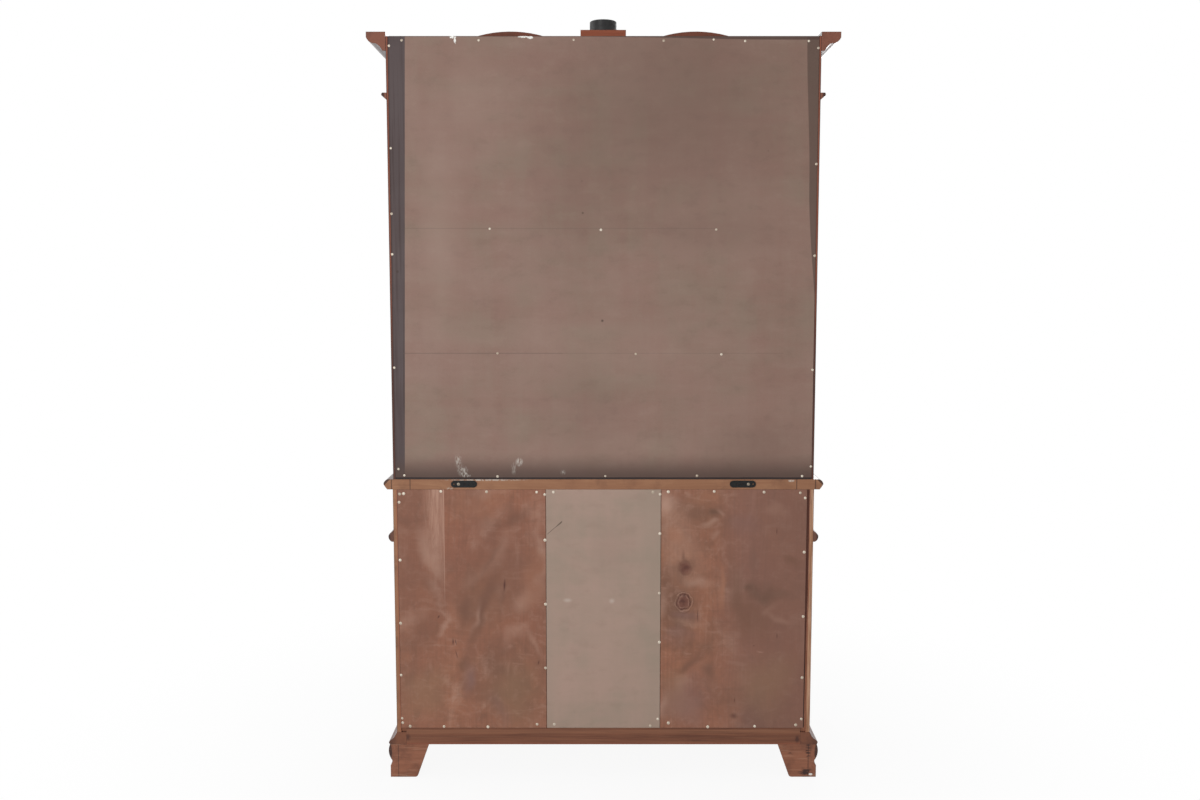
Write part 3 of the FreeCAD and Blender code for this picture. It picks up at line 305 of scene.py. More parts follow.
def end_grain_group():
    """Sawn end of a board: curved rings seen end on, with fine dots."""
    tree, given, out = group("end_grain", {"Vector": None}, ("Rings", "Dots"))
    tilted = stretched(given["Vector"], (1, 0, 1), (0, 0.5, 0))
    feed(out["Rings"], grow("ShaderNodeTexWave", tilted, 95.0, 2.5, 2.0, 1.2,
                            wave_type="RINGS", rings_direction="Y"))
    feed(out["Dots"], ranged(clouds(given["Vector"], 1400.0, 1.0), 0.55, 0.75))
    return tree


def eased_edges_group():
    """Slightly rounded edges: a normal that turns over them, and a mask of where they are rubbed."""
    tree, given, out = group("eased_edges", {"Radius": 0.0012, "Vector": None, "Broken": 0.5},
                             ("Normal", "Edge"))
    rounded = grow("ShaderNodeBevel", given["Radius"], samples=3)
    plain = tree.nodes.new("ShaderNodeNewGeometry").outputs["Normal"]
    edge = ranged(measured("DOT_PRODUCT", rounded, plain), 0.995, 0.86)
    rubbed = ranged(clouds(given["Vector"], 55.0, 4.0, 0.65), 0.35, 0.62)
    missing = times(given["Broken"], minus(1.0, rubbed))
    feed(out["Normal"], rounded)
    feed(out["Edge"], times(edge, minus(1.0, missing)))
    return tree


def specks_group():
    """Scattered small marks: a share of the cells holds one, each with its own size."""
    tree, given, out = group("specks", {"Vector": None, "Scale": 30.0, "Share": 0.2, "Size": 0.06},
                             ("Mask",))
    cell = place(tree, "ShaderNodeTexVoronoi", Vector=given["Vector"], Scale=given["Scale"]).outputs
    draw = parts_of(cell["Color"])
    reach = times(given["Size"], plus(0.4, draw[1]))
    near = ranged(cell["Distance"], times(reach, 0.55), reach, 1.0, 0.0)
    feed(out["Mask"], times(near, below(draw[0], given["Share"])))
    return tree


def patch_group():
    """Soft-edged box about a middle, in X and Z: 1 inside and 0 outside."""
    tree, given, out = group("patch", {
        "Vector": None, "Middle": (0, 0, 0), "Half": (0.1, 1, 0.1), "Softness": 0.01,
    }, ("Mask",))
    away = vectors("ABSOLUTE", vectors("SUBTRACT", given["Vector"], given["Middle"]))
    across, up = [ranged(past, 0.0, given["Softness"], 1.0, 0.0, "LINEAR")
                  for past in across_up(vectors("SUBTRACT", away, given["Half"]))]
    feed(out["Mask"], times(across, up))
    return tree


def spot_group():
    """Round or oval mark about a middle, in X and Z, with a soft rim."""
    tree, given, out = group("spot", {
        "Vector": None, "Middle": (0, 0, 0), "Half": (0.01, 1, 0.01), "Hardness": 0.5,
    }, ("Mask", "Distance"))
    from_middle = vectors("SUBTRACT", given["Vector"], given["Middle"])
    flat = vectors("MULTIPLY", vectors("DIVIDE", from_middle, given["Half"]), (1, 0, 1))
    far = measured("LENGTH", flat)
    feed(out["Mask"], ranged(far, given["Hardness"], 1.0, 1.0, 0.0))
    feed(out["Distance"], far)
    return tree


def facing_group():
    """1 where the surface of the piece at rest faces along a direction."""
    tree, given, out = group("facing", {"Direction": (0, 1, 0)}, ("Mask",))
    normal = tree.nodes.new("ShaderNodeTexCoord").outputs["Normal"]
    feed(out["Mask"], ranged(measured("DOT_PRODUCT", normal, given["Direction"]), 0.6, 0.8))
    return tree


GRAIN = grain_group()
END_GRAIN = end_grain_group()
EASED = eased_edges_group()
SPECKS = specks_group()
PATCH = patch_group()
SPOT = spot_group()
FACING = facing_group()


# ---------------- marks laid over a colour

def paint(colour):
    """A colour written as seen, as the linear values that a shader takes."""
    def linear(part):
        part /= 255
        return part / 12.92 if part <= 0.04045 else ((part + 0.055) / 1.055) ** 2.4
    return (*[linear(part) for part in colour], 1.0)


def with_mark(colour, mask, strength, tone):
    """A tone laid over a colour where the mask is 1; a strength of 1 covers it."""
    return tinted(times(mask, strength), colour, paint(tone))


def with_layers(colour, *layers):
    """Tones laid over in turn where a value rises, each given by value, low, high, strength and tone."""
    for value, low, high, strength, tone in layers:
        colour = with_mark(colour, ranged(value, low, high), strength, tone)
    return colour


def patch(where, across, up, wide, tall, softness):
    """Mask of a square-cornered mark on the back."""
    return use(PATCH, where, Middle=(across, 0, up), Half=(wide, 1, tall), Softness=softness)["Mask"]


def oval(where, across, up, wide, tall, hardness):
    """Mask of an oval mark on the back."""
    return use(SPOT, where, Middle=(across, 0, up), Half=(wide, 1, tall), Hardness=hardness)["Mask"]


def flare(where, *lengths_and_lean):
    """Mask of a long soft mark on the back, its lengths in millimetres, that leans to the left."""
    *lengths, lean = lengths_and_lean
    across, up, wide, tall = [length / 1000 for length in lengths]
    laid = stretched(vectors("SUBTRACT", where, (across, 0, up)), (1, 1, 1), (0, lean, 0))
    return use(SPOT, laid, Half=(wide, 1, tall), Hardness=0.0)["Mask"]


def with_marks(colour, where, shape, tone, marks, breakup=None):
    """Marks of one shape, each given by the numbers that the shape takes and its strength."""
    for *form, strength in marks:
        mask = shape(where, *form)
        if breakup is not None:
            mask = times(mask, breakup)
        colour = with_mark(colour, mask, strength, tone)
    return colour


def with_specks(colour, where, tone, strength, **scatter):
    return with_mark(colour, use(SPECKS, where, **scatter)["Mask"], strength, tone)


# ---------------- materials

def new_material(name):
    """A material with a Principled shader: returns it, the shader's inputs and the piece's own place."""
    made = bpy.data.materials.new(name)
    made.use_nodes = True
    nodes = made.node_tree.nodes
    return made, nodes["Principled BSDF"].inputs, nodes.new("ShaderNodeTexCoord").outputs["Object"]


def set_shader(shader, **given):
    """Feed a shader's inputs by name, with _ for a space."""
    for title, value in given.items():
        feed(shader[title.replace("_", " ")], value)


def relief(height, normal, depth, strength):
    """A bump over a normal; depth is in metres."""
    bump = place(height.id_data, "ShaderNodeBump", Strength=strength, Distance=depth, Height=height)
    if normal is not None:
        feed(bump.inputs["Normal"], normal)
    return bump.outputs["Normal"]


def facing(where, direction):
    return use(FACING, where, Direction=direction)["Mask"]


def turned(where, axis):
    """The place turned so that the grain runs along an axis."""
    return stretched(where, (1, 1, 1), GRAIN_TURNS[axis])


def bare_wood(name, grain, tones, marks=None):
    """A board of plain unpolished wood with eased edges."""
    ground, streak, blot = tones
    made, shader, where = new_material(name)
    lines = use(GRAIN, turned(where, grain))
    eased = use(EASED, where, Radius=0.001)
    colour = with_layers(
        paint(ground),
        (lines["Figure"], 0.25, 0.80, 0.55, streak),
        (lines["Streaks"], 0.45, 0.65, 0.45, blot),
    )
    colour = with_mark(colour, lines["Pores"], 0.35, blot)
    if marks is not None:
        colour = marks(colour, where)
    set_shader(shader, Base_Color=colour, Specular_IOR_Level=0.3,
               Roughness=ranged(lines["Streaks"], 0.2, 0.8, 0.58, 0.72),
               Normal=relief(lines["Streaks"], eased["Normal"], 0.0003, 0.5))
    return made


def bare_colour(where, lines, ends, tones):
    """Colour of unfinished wood: long grain, or sawn ends with rings and dots."""
    ground, streak, blot = tones
    if ends:
        sawn = use(END_GRAIN, where)
        streaky = plus(times(sawn["Rings"], 0.6), times(sawn["Dots"], 0.3))
    else:
        streaky = average(ranged(lines["Figure"], 0.25, 0.8), ranged(lines["Streaks"], 0.35, 0.65))
    colour = tinted(streaky, paint(ground), paint(streak))
    return with_layers(colour, (clouds(where, 16.0, 4.0, 0.6), 0.48, 0.74, 0.55, blot))


def frame_rails(rails):
    """Crossing of a frame: the grain runs along X in each rail, given by X, Z, half width and height."""
    def crossing(where):
        mask = 0.0
        for rail in rails:
            mask = larger(patch(where, *rail, 0.0008), mask)
        return mask, "x"
    return crossing


def door_rails(name, stile, foot):
    """Rails of a door, between its stiles."""
    low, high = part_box(name)
    middle, half = (low.x + high.x) / 2, (high.x - low.x) / 2 - stile
    return frame_rails([(middle, high.z, half, stile), (middle, low.z, half, foot)])


def moulding_returns(side, front):
    """Crossing of a moulding: past the mitres at the front corners, the grain runs front to back."""
    wall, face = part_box(side)[1].x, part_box(front)[0].y

    def crossing(where):
        across, deep = parts_of(where)[:2]
        beside = minus(unsigned(across), wall)
        ahead = larger(minus(face, deep), 0.0)
        return ranged(minus(beside, ahead), -0.0004, 0.0004), "y"
    return crossing


def lay_grain(where, grain, crossing):
    """Place for the grain, turned where the crossing is, and a mask of the joint between the two ways."""
    along = turned(where, grain)
    if crossing is None:
        return along, None
    mask, other = crossing(where)
    return mixed(mask, along, turned(where, other), "VECTOR"), times(mask, minus(1.0, mask))


def finished_wood(name, grain, raw_faces=(), tones=EDGE_WOOD, ends=False, rim=0.0014, marks=None,
                  crossing=None):
    """Dark lacquered wood that stays bare, with dark rims, on the faces that look along raw_faces."""
    made, shader, where = new_material(name)
    laid, joint = lay_grain(where, grain, crossing)
    lines = use(GRAIN, laid, Rings=0.10, Wander=0.05)
    eased = use(EASED, where, Radius=rim)
    colour = tinted(ranged(lines["Figure"], 0.25, 0.75), paint(FINISH_DARK), paint(FINISH_WARM))
    colour = with_layers(colour, (lines["Streaks"], 0.50, 0.68, 0.30, FINISH_DARK))
    colour = with_mark(colour, lines["Pores"], 0.45, FINISH_PORE)
    if joint is not None:
        colour = with_mark(colour, joint, 2.8, FINISH_PORE)
    colour = with_mark(colour, eased["Edge"], 0.45, FINISH_RUBBED)
    rough = ranged(lines["Streaks"], 0.2, 0.8, 0.28, 0.38)
    coat = 0.15
    if raw_faces:
        mask = facing(where, raw_faces[0])
        for direction in raw_faces[1:]:
            mask = larger(mask, facing(where, direction))
        bare = bare_colour(where, lines, ends, tones)
        if marks is not None:
            bare = marks(bare, where)
        bare = with_mark(bare, eased["Edge"], 0.8, DARK_LINE_AND_SHADOW)
        colour = tinted(mask, colour, bare)
        rough = mixed(mask, rough, 0.66)
        coat = times(minus(1.0, mask), coat)
    set_shader(shader, Base_Color=colour, Roughness=rough, Specular_IOR_Level=0.32, Coat_Weight=coat,
               Coat_Roughness=0.16, Normal=relief(lines["Streaks"], eased["Normal"], 0.00025, 0.35))
    return made


def back_board(shader, where, colour, texture):
    """Finish of a back panel: its colour and a dark rim behind, plain brown wood towards the inside."""
    lines = use(GRAIN, where)
    inner = with_layers(paint(INSIDE_BROWN), (lines["Streaks"], 0.35, 0.65, 0.7, INSIDE_STREAK))
    eased = use(EASED, where, Radius=0.0016)
    colour = with_mark(colour, eased["Edge"], 0.7, DARK_LINE_AND_SHADOW)
    set_shader(shader, Base_Color=tinted(facing(where, REAR), inner, colour), Specular_IOR_Level=0.25,
               Normal=relief(texture, eased["Normal"], 0.0002, 0.35))


# ---------------- hardboard backs

def hardboard(name, tones, blotches):
    """Pressed board: a fibrous skin with broad cloudy changes of tone. Returns what marks are added to."""
    ground, cast, flush = tones
    made, shader, where = new_material(name)
    broad = clouds(stretched(where, (1.6, 1, 2.2)), 2.2, 4.0, 0.6, 0.3)
    woven = average(strands(where, (11, 1, 1.3), 4.0, 0.65), strands(where, (1.4, 1, 12), 4.0, 0.65))
    mottled = clouds(stretched(where, (0.8, 1, 1.3)), 22.0, 5.0, 0.62)
    fibre = strands(where, (700, 700, 420), 3.0, 0.7)
    colour = with_layers(
        tinted(ranged(broad, 0.38, 0.64), paint(ground), paint(cast)),
        (woven, 0.38, 0.64, 0.75, flush),
        (mottled, 0.50, 0.72, blotches, BOARD_DARK),
        (mottled, 0.48, 0.28, 0.22, BOARD_LIGHT),
        (fibre, 0.35, 0.75, 0.20, BOARD_LIGHT),
    )
    set_shader(shader, Roughness=ranged(broad, 0.3, 0.7, 0.52, 0.66))
    return made, shader, where, colour, fibre


def side_bands(colour, where, high):
    """Darker bands down both sides: the right one leans slightly, the left one tapers both ways."""
    right_start, right_lean, left_start, left_waist = 0.5600, 0.0165, 0.587, 1.76
    across, up = across_up(where)
    lean = times(minus(high.z, up), right_lean)
    shaded = ranged(minus(across, plus(right_start, lean)), -0.0008, 0.0012)
    streaky = ranged(strands(where, (150, 1, 3), 4.0, 0.6), 0.44, 0.68)
    colour = with_mark(colour, shaded, 0.95, BOARD_SHADE)
    colour = with_mark(colour, times(shaded, streaky), 0.45, DARK_LINE_AND_SHADOW)
    taper = ranged(up, 1.2, left_waist, 0.034, 0.0)
    narrow = ranged(up, left_waist, high.z, 0.0, -0.0125)
    past_left = plus(plus(across, left_start), plus(taper, narrow))
    # The first layer is a painted shadow line at the panel's right edge, where it meets the side.
    return with_layers(
        colour,
        (across, 0.603, 0.608, 0.40, DARK_LINE_AND_SHADOW),
        (past_left, 0.001, -0.0015, 0.85, BOARD_BAND),
    )


def hutch_back_marks(colour, where, low, high):
    """Painted shade at the foot and top with a painted shadow line along the foot, pencil lines at the
    shelves, scuffs, a torn top edge and specks.
    """
    across, up = across_up(where)
    colour = with_marks(colour, where, oval, BOARD_DARK, [
        (-0.20, 1.98, 0.55, 0.50, 0.0, 0.55),
        (0.10, 1.70, 0.22, 0.36, 0.0, 0.25),
        (-0.30, 1.62, 0.40, 0.10, 0.0, 0.25),
        (-0.46, 1.00, 0.24, 0.13, 0.0, 0.40),
        (0.05, 1.12, 0.20, 0.22, 0.0, 0.22),
    ])
    colour = with_marks(colour, where, oval, BOARD_LIGHT, [
        (0.47, 1.62, 0.10, 0.45, 0.0, 0.45),
        (0.38, 2.02, 0.14, 0.20, 0.0, 0.30),
        (-0.05, 1.28, 0.30, 0.16, 0.0, 0.22),
    ])
    ripple = times(strands(where, (14, 1, 1), 2.0), 0.0018)
    droop = times(ranged(across, 0.05, -0.5), 0.0085)
    # Painted shade darkening towards the foot, a painted shadow line where the back meets the base's top,
    # and painted shade under the top edge.
    colour = with_layers(
        colour,
        (up, low.z + 0.085, low.z + 0.004, 0.92, BOARD_FOOT_SHADE),
        (plus(up, ripple), low.z + 0.0076, low.z + 0.0060, 0.93, PAINTED_SHADOW_BLACK),
        (plus(up, droop), high.z - 0.0022, high.z - 0.0004, 0.85, BOARD_TOP_SHADE),
    )
    upper_shelf, lower_shelf = 1.631, 1.273
    colour = with_marks(colour, where, patch, PENCIL_GREY, [
        (0.33, upper_shelf, 0.25, 0.0006, 0.0014, 0.22),
        (-0.12, upper_shelf, 0.20, 0.0004, 0.0012, 0.24),
        (0.35, lower_shelf, 0.23, 0.0006, 0.0014, 0.40),
        (-0.20, lower_shelf, 0.32, 0.0006, 0.0014, 0.18),
    ])
    scratchy = ranged(strands(where, (260, 1, 90), 4.0, 0.7, turn=(0, 0.6, 0)), 0.42, 0.6)
    colour = with_marks(colour, where, oval, DUST_WHITE, [
        (0.424, 0.958, 0.014, 0.024, 0.2, 0.40),
        (0.412, 0.930, 0.020, 0.020, 0.2, 0.42),
        (0.402, 0.917, 0.022, 0.009, 0.3, 0.40),
        (0.246, 0.955, 0.014, 0.016, 0.3, 0.50),
        (0.262, 0.936, 0.010, 0.024, 0.2, 0.25),
        (0.118, 0.924, 0.010, 0.010, 0.2, 0.35),
    ], breakup=scratchy)
    rough_rim = times(clouds(where, 210.0, 3.0, 0.75), 2.2)
    for middle, below_top, wide, tall in (
        (0.419, 0.011, 0.006, 0.017),
        (0.427, 0.003, 0.013, 0.006),
        (0.226, 0.001, 0.026, 0.006),
        (0.207, 0.004, 0.014, 0.007),
    ):
        tear = oval(where, middle, high.z - below_top, wide, tall, 0.0)
        torn = ranged(plus(tear, rough_rim), 1.50, 1.62)
        colour = with_mark(colour, times(torn, tear), 3.0, TORN_WHITE)
    return with_specks(colour, where, SPECK_DARK, 0.75, Scale=17.0, Share=0.16, Size=0.07)


def hutch_back_material():
    """Back of the hutch: one sheet of hardboard with darker bands at its sides."""
    low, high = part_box("hutch_back")
    tones = (BOARD_BROWN, BOARD_GREEN, BOARD_RED)
    made, shader, where, colour, fibre = hardboard("hutch_hardboard", tones, 0.22)
    colour = side_bands(colour, where, high)
    back_board(shader, where, hutch_back_marks(colour, where, low, high), fibre)
    return made


def centre_back_material():
    """Middle panel of the base's back: paler hardboard with dusty smudges, a scratch and specks."""
    tones = (BOARD_PALE, BOARD_OLIVE, BOARD_PINK)
    made, shader, where, colour, fibre = hardboard("centre_hardboard", tones, 0.12)
    across = parts_of(where)[0]
    colour = with_layers(
        colour,
        (across, -0.08, -0.16, 0.45, BOARD_OLIVE),
        (across, 0.12, 0.165, 0.35, BOARD_OLIVE),
    )
    colour = with_marks(colour, where, oval, BOARD_LIGHT, [(-0.02, 0.70, 0.10, 0.14, 0.0, 0.5)])
    colour = with_marks(colour, where, oval, DUST_WHITE, [
        (0.106, 0.542, 0.018, 0.009, 0.1, 0.20),
        (-0.025, 0.540, 0.012, 0.011, 0.1, 0.20),
    ])
    colour = with_scratch(colour, where)
    colour = with_specks(colour, where, SPECK_DARK, 0.6, Scale=13.0, Share=0.16, Size=0.06)
    back_board(shader, where, colour, fibre)
    return made


def with_scratch(colour, where):
    """A short dark scratch that rises from the seam and thickens."""
    start, rise = (0.166, 0, 0.740), 0.86
    across, up = across_up(vectors("SUBTRACT", where, start))
    along = times(across, -1.0)
    off = unsigned(minus(up, times(along, rise)))
    width = ranged(along, 0.022, 0.040, 0.0016, 0.0040)
    thin = ranged(maths("DIVIDE", off, width), 1.0, 0.4)
    reach = times(ranged(along, 0.0, 0.002), ranged(along, 0.046, 0.043))
    return with_mark(colour, times(thin, reach), 0.75, SCRATCH_BROWN)


# ---------------- veneered plywood backs

# Flares by tone, and single tears. Each row gives X, Z, half width and half length in
# millimetres, then the lean to the left in radians and the strength.
RIGHT_FLARES = [
    (PLY_OLIVE, [
        (250, 260, 130, 150, 0.0, 0.50),
        (530, 260, 90, 130, 0.0, 0.45),
        (340, 560, 160, 200, 0.3, 0.30),
    ]),
    (PLY_ORANGE, [
        (205, 600, 40, 160, 0.1, 0.60),
        (370, 810, 80, 60, 0.6, 0.45),
        (455, 520, 30, 80, 0.0, 0.35),
    ]),
    (PLY_BROWN, [
        (350, 510, 26, 170, 0.30, 0.90),
        (405, 515, 40, 120, 0.12, 0.85),
        (310, 600, 180, 260, 0.30, 0.42),
        (540, 450, 50, 80, 0.20, 0.45),
        (408, 355, 30, 70, 0.60, 0.50),
        (256, 778, 44, 60, 0.50, 0.75),
        (322, 665, 12, 90, 0.85, 0.45),
        (286, 560, 16, 55, 0.10, 0.50),
        (565, 768, 36, 34, 0.00, 0.50),
        (545, 600, 40, 60, -0.40, 0.40),
        (560, 300, 40, 110, 0.20, 0.35),
        (450, 650, 16, 40, 0.90, 0.45),
    ]),
    (KNOT_HEART, [
        (390, 660, 420, 420, 0.00, 0.24),
    ]),
    (PLY_MAUVE, [
        (389, 300, 36, 90, 0.10, 0.80),
        (300, 210, 80, 40, 1.20, 0.35),
    ]),
    (PLY_PALE, [
        (366, 492, 14, 80, 0.28, 0.34),
        (279, 690, 34, 100, 0.68, 0.20),
        (370, 638, 36, 80, 1.20, 0.16),
        (504, 680, 34, 110, -0.25, 0.42),
        (520, 580, 34, 70, -0.60, 0.22),
        (252, 428, 24, 70, 1.00, 0.30),
        (200, 410, 18, 65, -0.62, 0.28),
        (481, 463, 24, 36, 0.30, 0.42),
        (330, 770, 44, 100, 0.90, 0.18),
        (575, 470, 34, 50, 0.60, 0.28),
        (441, 408, 4, 10, 0.00, 0.80),
        (225, 540, 36, 80, 0.40, 0.32),
        (185, 680, 22, 160, 0.00, 0.34),
        (350, 860, 80, 30, 0.00, 0.24),
    ]),
]
RIGHT_TEARS = [
    (292, 588, 4.6, 26, 0.05, 0.95),
    (446, 416, 3.6, 15, 0.00, 0.95),
    (438, 415, 3, 13, -0.20, 0.85),
    (436, 378, 2.4, 20, -0.25, 0.75),
    (193, 352, 3, 10, 0.20, 0.85),
    (488, 492, 3.6, 9, 0.50, 0.90),
]
LEFT_FLARES = [
    (PLY_OLIVE, [
        (-480, 280, 110, 150, 0.0, 0.45),
        (-210, 260, 50, 130, 0.0, 0.55),
    ]),
    (PLY_PALE, [
        (-190, 838, 60, 60, 0.0, 0.85),
        (-255, 604, 60, 36, 0.0, 0.42),
        (-320, 753, 38, 18, 0.1, 0.42),
        (-350, 790, 30, 15, 0.3, 0.35),
        (-220, 720, 90, 180, 0.0, 0.28),
        (-335, 725, 30, 10, 0.0, 0.30),
        (-248, 461, 52, 22, 0.0, 0.26),
        (-182, 520, 26, 80, 0.0, 0.36),
        (-520, 492, 66, 17, 0.3, 0.22),
        (-500, 515, 52, 14, -0.4, 0.18),
        (-505, 810, 52, 24, 0.3, 0.16),
        (-240, 215, 80, 60, 0.0, 0.30),
        (-186, 215, 24, 50, 0.0, 0.55),
        (-228, 280, 50, 60, 0.3, 0.35),
        (-455, 400, 12, 4, 0.3, 0.35),
    ]),
    (PLY_ORANGE, [
        (-331, 590, 22, 120, 0.0, 0.55),
        (-300, 840, 70, 30, 0.0, 0.35),
        (-292, 350, 34, 40, 0.4, 0.45),
        (-205, 740, 40, 50, 0.0, 0.40),
    ]),
    (PLY_BROWN, [
        (-317, 787, 45, 22, 0.0, 0.75),
        (-275, 800, 30, 40, 0.3, 0.40),
        (-238, 350, 28, 75, 0.85, 0.75),
        (-318, 340, 28, 60, -0.85, 0.70),
        (-270, 400, 60, 20, 0.1, 0.40),
        (-395, 560, 40, 180, 0.0, 0.55),
        (-430, 520, 130, 140, 0.0, 0.60),
        (-567, 665, 40, 18, 0.3, 0.65),
        (-390, 230, 80, 80, 0.0, 0.35),
    ]),
    (PLY_MAUVE, [
        (-243, 488, 46, 28, 0.0, 0.62),
        (-215, 430, 70, 30, 0.0, 0.45),
        (-250, 220, 120, 110, 0.0, 0.60),
        (-430, 760, 60, 60, 0.0, 0.40),
        (-290, 290, 110, 110, 0.0, 0.30),
    ]),
    (PLY_SMUDGE, [
        (-480, 580, 38, 85, -0.90, 0.46),
        (-512, 552, 30, 44, 0.20, 0.34),
        (-450, 600, 34, 20, 0.00, 0.35),
        (-317, 790, 30, 14, 0.20, 0.45),
    ]),
]
LEFT_TEARS = [
    (-236, 676, 7, 28, 0.00, 0.34),
    (-279, 495, 2.2, 26, 0.00, 0.75),
    (-510, 749, 2.4, 14, 0.00, 0.80),
    (-515, 434, 2.4, 12, 0.00, 0.75),
    (-391, 237, 2.2, 10, 0.00, 0.75),
    (-389, 189, 17, 13, 0.10, 0.60),
    (-447, 404, 3, 3, 0.00, 0.80),
]


def veneer(name, shift):
    """Rotary-cut veneer: cloudy, mottled tone over fine upright grain. Returns what marks are added to."""
    made, shader, where = new_material(name)
    placed = grow("ShaderNodeMapping", where, shift)
    lines = use(GRAIN, placed, Wander=0.08)
    cloudy = clouds(stretched(placed, (1, 1, 0.75), (0, 0.35, 0)), 7.0, 5.0, 0.6, 0.5)
    smoke = clouds(stretched(placed, (1, 1, 0.6), (0, -0.5, 0)), 13.0, 5.0, 0.58, 0.7)
    mottled = clouds(placed, 38.0, 4.0, 0.65, 0.8)
    wisps = strands(placed, (9, 9, 30), 4.0, 0.6, 1.6, (0, 0.45, 0))
    colour = with_layers(
        tinted(ranged(cloudy, 0.22, 0.78), paint(PLY_BROWN), paint(PLY_ORANGE)),
        (clouds(placed, 4.0, 3.0), 0.32, 0.60, 0.70, PLY_RED),
        (smoke, 0.50, 0.76, 0.42, PLY_PALE),
        (smoke, 0.48, 0.26, 0.50, PLY_BROWN),
        (mottled, 0.50, 0.70, 0.20, PLY_PALE),
        (mottled, 0.48, 0.30, 0.22, PLY_BROWN),
        (lines["Streaks"], 0.48, 0.64, 0.20, PLY_BROWN),
        (lines["Streaks"], 0.46, 0.32, 0.12, PLY_PALE),
        (lines["Figure"], 0.56, 0.74, 0.16, PLY_BROWN),
        (strands(placed, (5, 5, 260), 3.0, 0.6), 0.52, 0.70, 0.16, PLY_BROWN),
        (wisps, 0.54, 0.72, 0.20, PLY_PALE),
        (wisps, 0.46, 0.30, 0.22, PLY_BROWN),
    )
    set_shader(shader, Roughness=ranged(cloudy, 0.3, 0.7, 0.54, 0.68))
    return made, shader, where, lines, colour


def with_flares(colour, where, flares):
    """Long soft marks, tone by tone, bent as the figure of veneer is."""
    bent = drifted(where, 7.0, 0.14)
    for tone, marks in flares:
        colour = with_marks(colour, bent, flare, tone, marks)
    return colour


def finish_veneer(shader, where, lines, colour, tears):
    """Tears of the panel, the flecks that both panels have, and the finish of a back panel."""
    colour = with_marks(colour, where, flare, KNOT_DARK, tears)
    drawn_out = stretched(where, (1, 1, 0.35))
    colour = with_specks(colour, drawn_out, KNOT_DARK, 0.6, Scale=26.0, Share=0.08, Size=0.07)
    back_board(shader, where, colour, lines["Streaks"])


def right_ply_material():
    """Right-hand panel: two leaves of veneer, the outer one paler beside their upright join."""
    made, shader, where, lines, colour = veneer("right_veneer", (0.31, 0.0, 0.12))
    join = 0.4672
    across, up = across_up(where)
    beside = ranged(across, join - 0.0006, join + 0.0006)
    colour = with_mark(colour, times(beside, ranged(up, 0.36, 0.66)), 0.30, PLY_BROWN)
    glow = times(ranged(up, 0.54, 0.80), ranged(across, join + 0.075, join + 0.026))
    streaky = ranged(strands(where, (75, 1, 7), 5.0, 0.7, 1.4, (0, -0.07, 0)), 0.34, 0.66)
    pale = times(times(glow, beside), plus(0.35, times(streaky, 0.65)))
    colour = with_mark(colour, pale, 0.8, PLY_FLARE)
    from_line = unsigned(minus(across, join + 0.0015))
    edge_line = times(ranged(from_line, 0.0016, 0.0006), ranged(up, 0.48, 0.62))
    colour = with_mark(colour, edge_line, 0.5, PLY_FLARE)
    colour = with_flares(colour, where, RIGHT_FLARES)
    finish_veneer(shader, where, lines, colour, RIGHT_TEARS)
    return made


def knot(colour, where, middle, size, sharpness):
    """A knot in the veneer: a dark cloud, a reddish heart, uneven broken rings and a dark core."""
    across, up = middle
    uneven = drifted(where, 34.0, 0.035)
    colour = with_marks(colour, uneven, oval, PLY_BROWN, [
        (across, up + size * 0.1, size * 2.3, size * 1.9, 0.0, 0.90),
    ])
    shape = use(SPOT, where, Middle=(across, 0, up), Half=(size, 1, size * 1.1), Hardness=0.5)
    wobble = times(clouds(where, 60.0, 3.0, 0.6), 0.9)
    away = minus(plus(shape["Distance"], wobble), 0.45)
    broken = ranged(clouds(where, 95.0, 3.0, 0.6), 0.30, 0.58, 0.25, 1.0)
    heart_rim, heart_core = 1.35 - 0.3 * sharpness, 0.35 + 0.4 * sharpness
    colour = with_layers(colour, (away, heart_rim, heart_core, 0.60, KNOT_HEART))
    for radius, thick, strength, tone in (
        (1.24, 0.10, 0.40, PLY_PALE),
        (0.98, 0.16, 0.95, KNOT_DARK),
        (0.74, 0.10, 0.35, PLY_PALE),
        (1.42, 0.07, 0.30, KNOT_DARK),
    ):
        ring = times(ranged(unsigned(minus(away, radius)), thick, thick * 0.3), broken)
        colour = with_mark(colour, ring, strength * sharpness, tone)
    tip, core = 0.15 + 0.65 * sharpness, 0.40 + 0.45 * sharpness
    colour = with_marks(colour, where, oval, KNOT_DARK, [
        (across - size * 0.05, up + size * 1.02, size * 0.46, size * 0.62, 0.0, tip),
    ])
    return with_marks(colour, uneven, oval, KNOT_DARK, [
        (across, up, size * 1.25, size * 1.15, 0.0, 0.50),
        (across + size * 0.10, up + size * 0.15, size * 0.80, size * 0.60, 0.0, core),
    ], breakup=broken)


def left_ply_material():
    """Left-hand panel: browner veneer with two knots near its inner edge, greyer towards the side."""
    made, shader, where, lines, colour = veneer("left_veneer", (-0.17, 0.0, 0.53))
    across = parts_of(where)[0]
    colour = with_layers(
        colour,
        (across, -0.30, -0.44, 0.50, PLY_MAUVE),
        (across, -0.32, -0.55, 0.30, PLY_BROWN),
    )
    colour = with_flares(colour, where, LEFT_FLARES)
    colour = knot(colour, where, (-0.241, 0.640), 0.0190, 0.10)
    colour = knot(colour, where, (-0.238, 0.536), 0.0205, 0.95)
    finish_veneer(shader, where, lines, colour, LEFT_TEARS)
    return made


# ---------------- marks on the bare edges

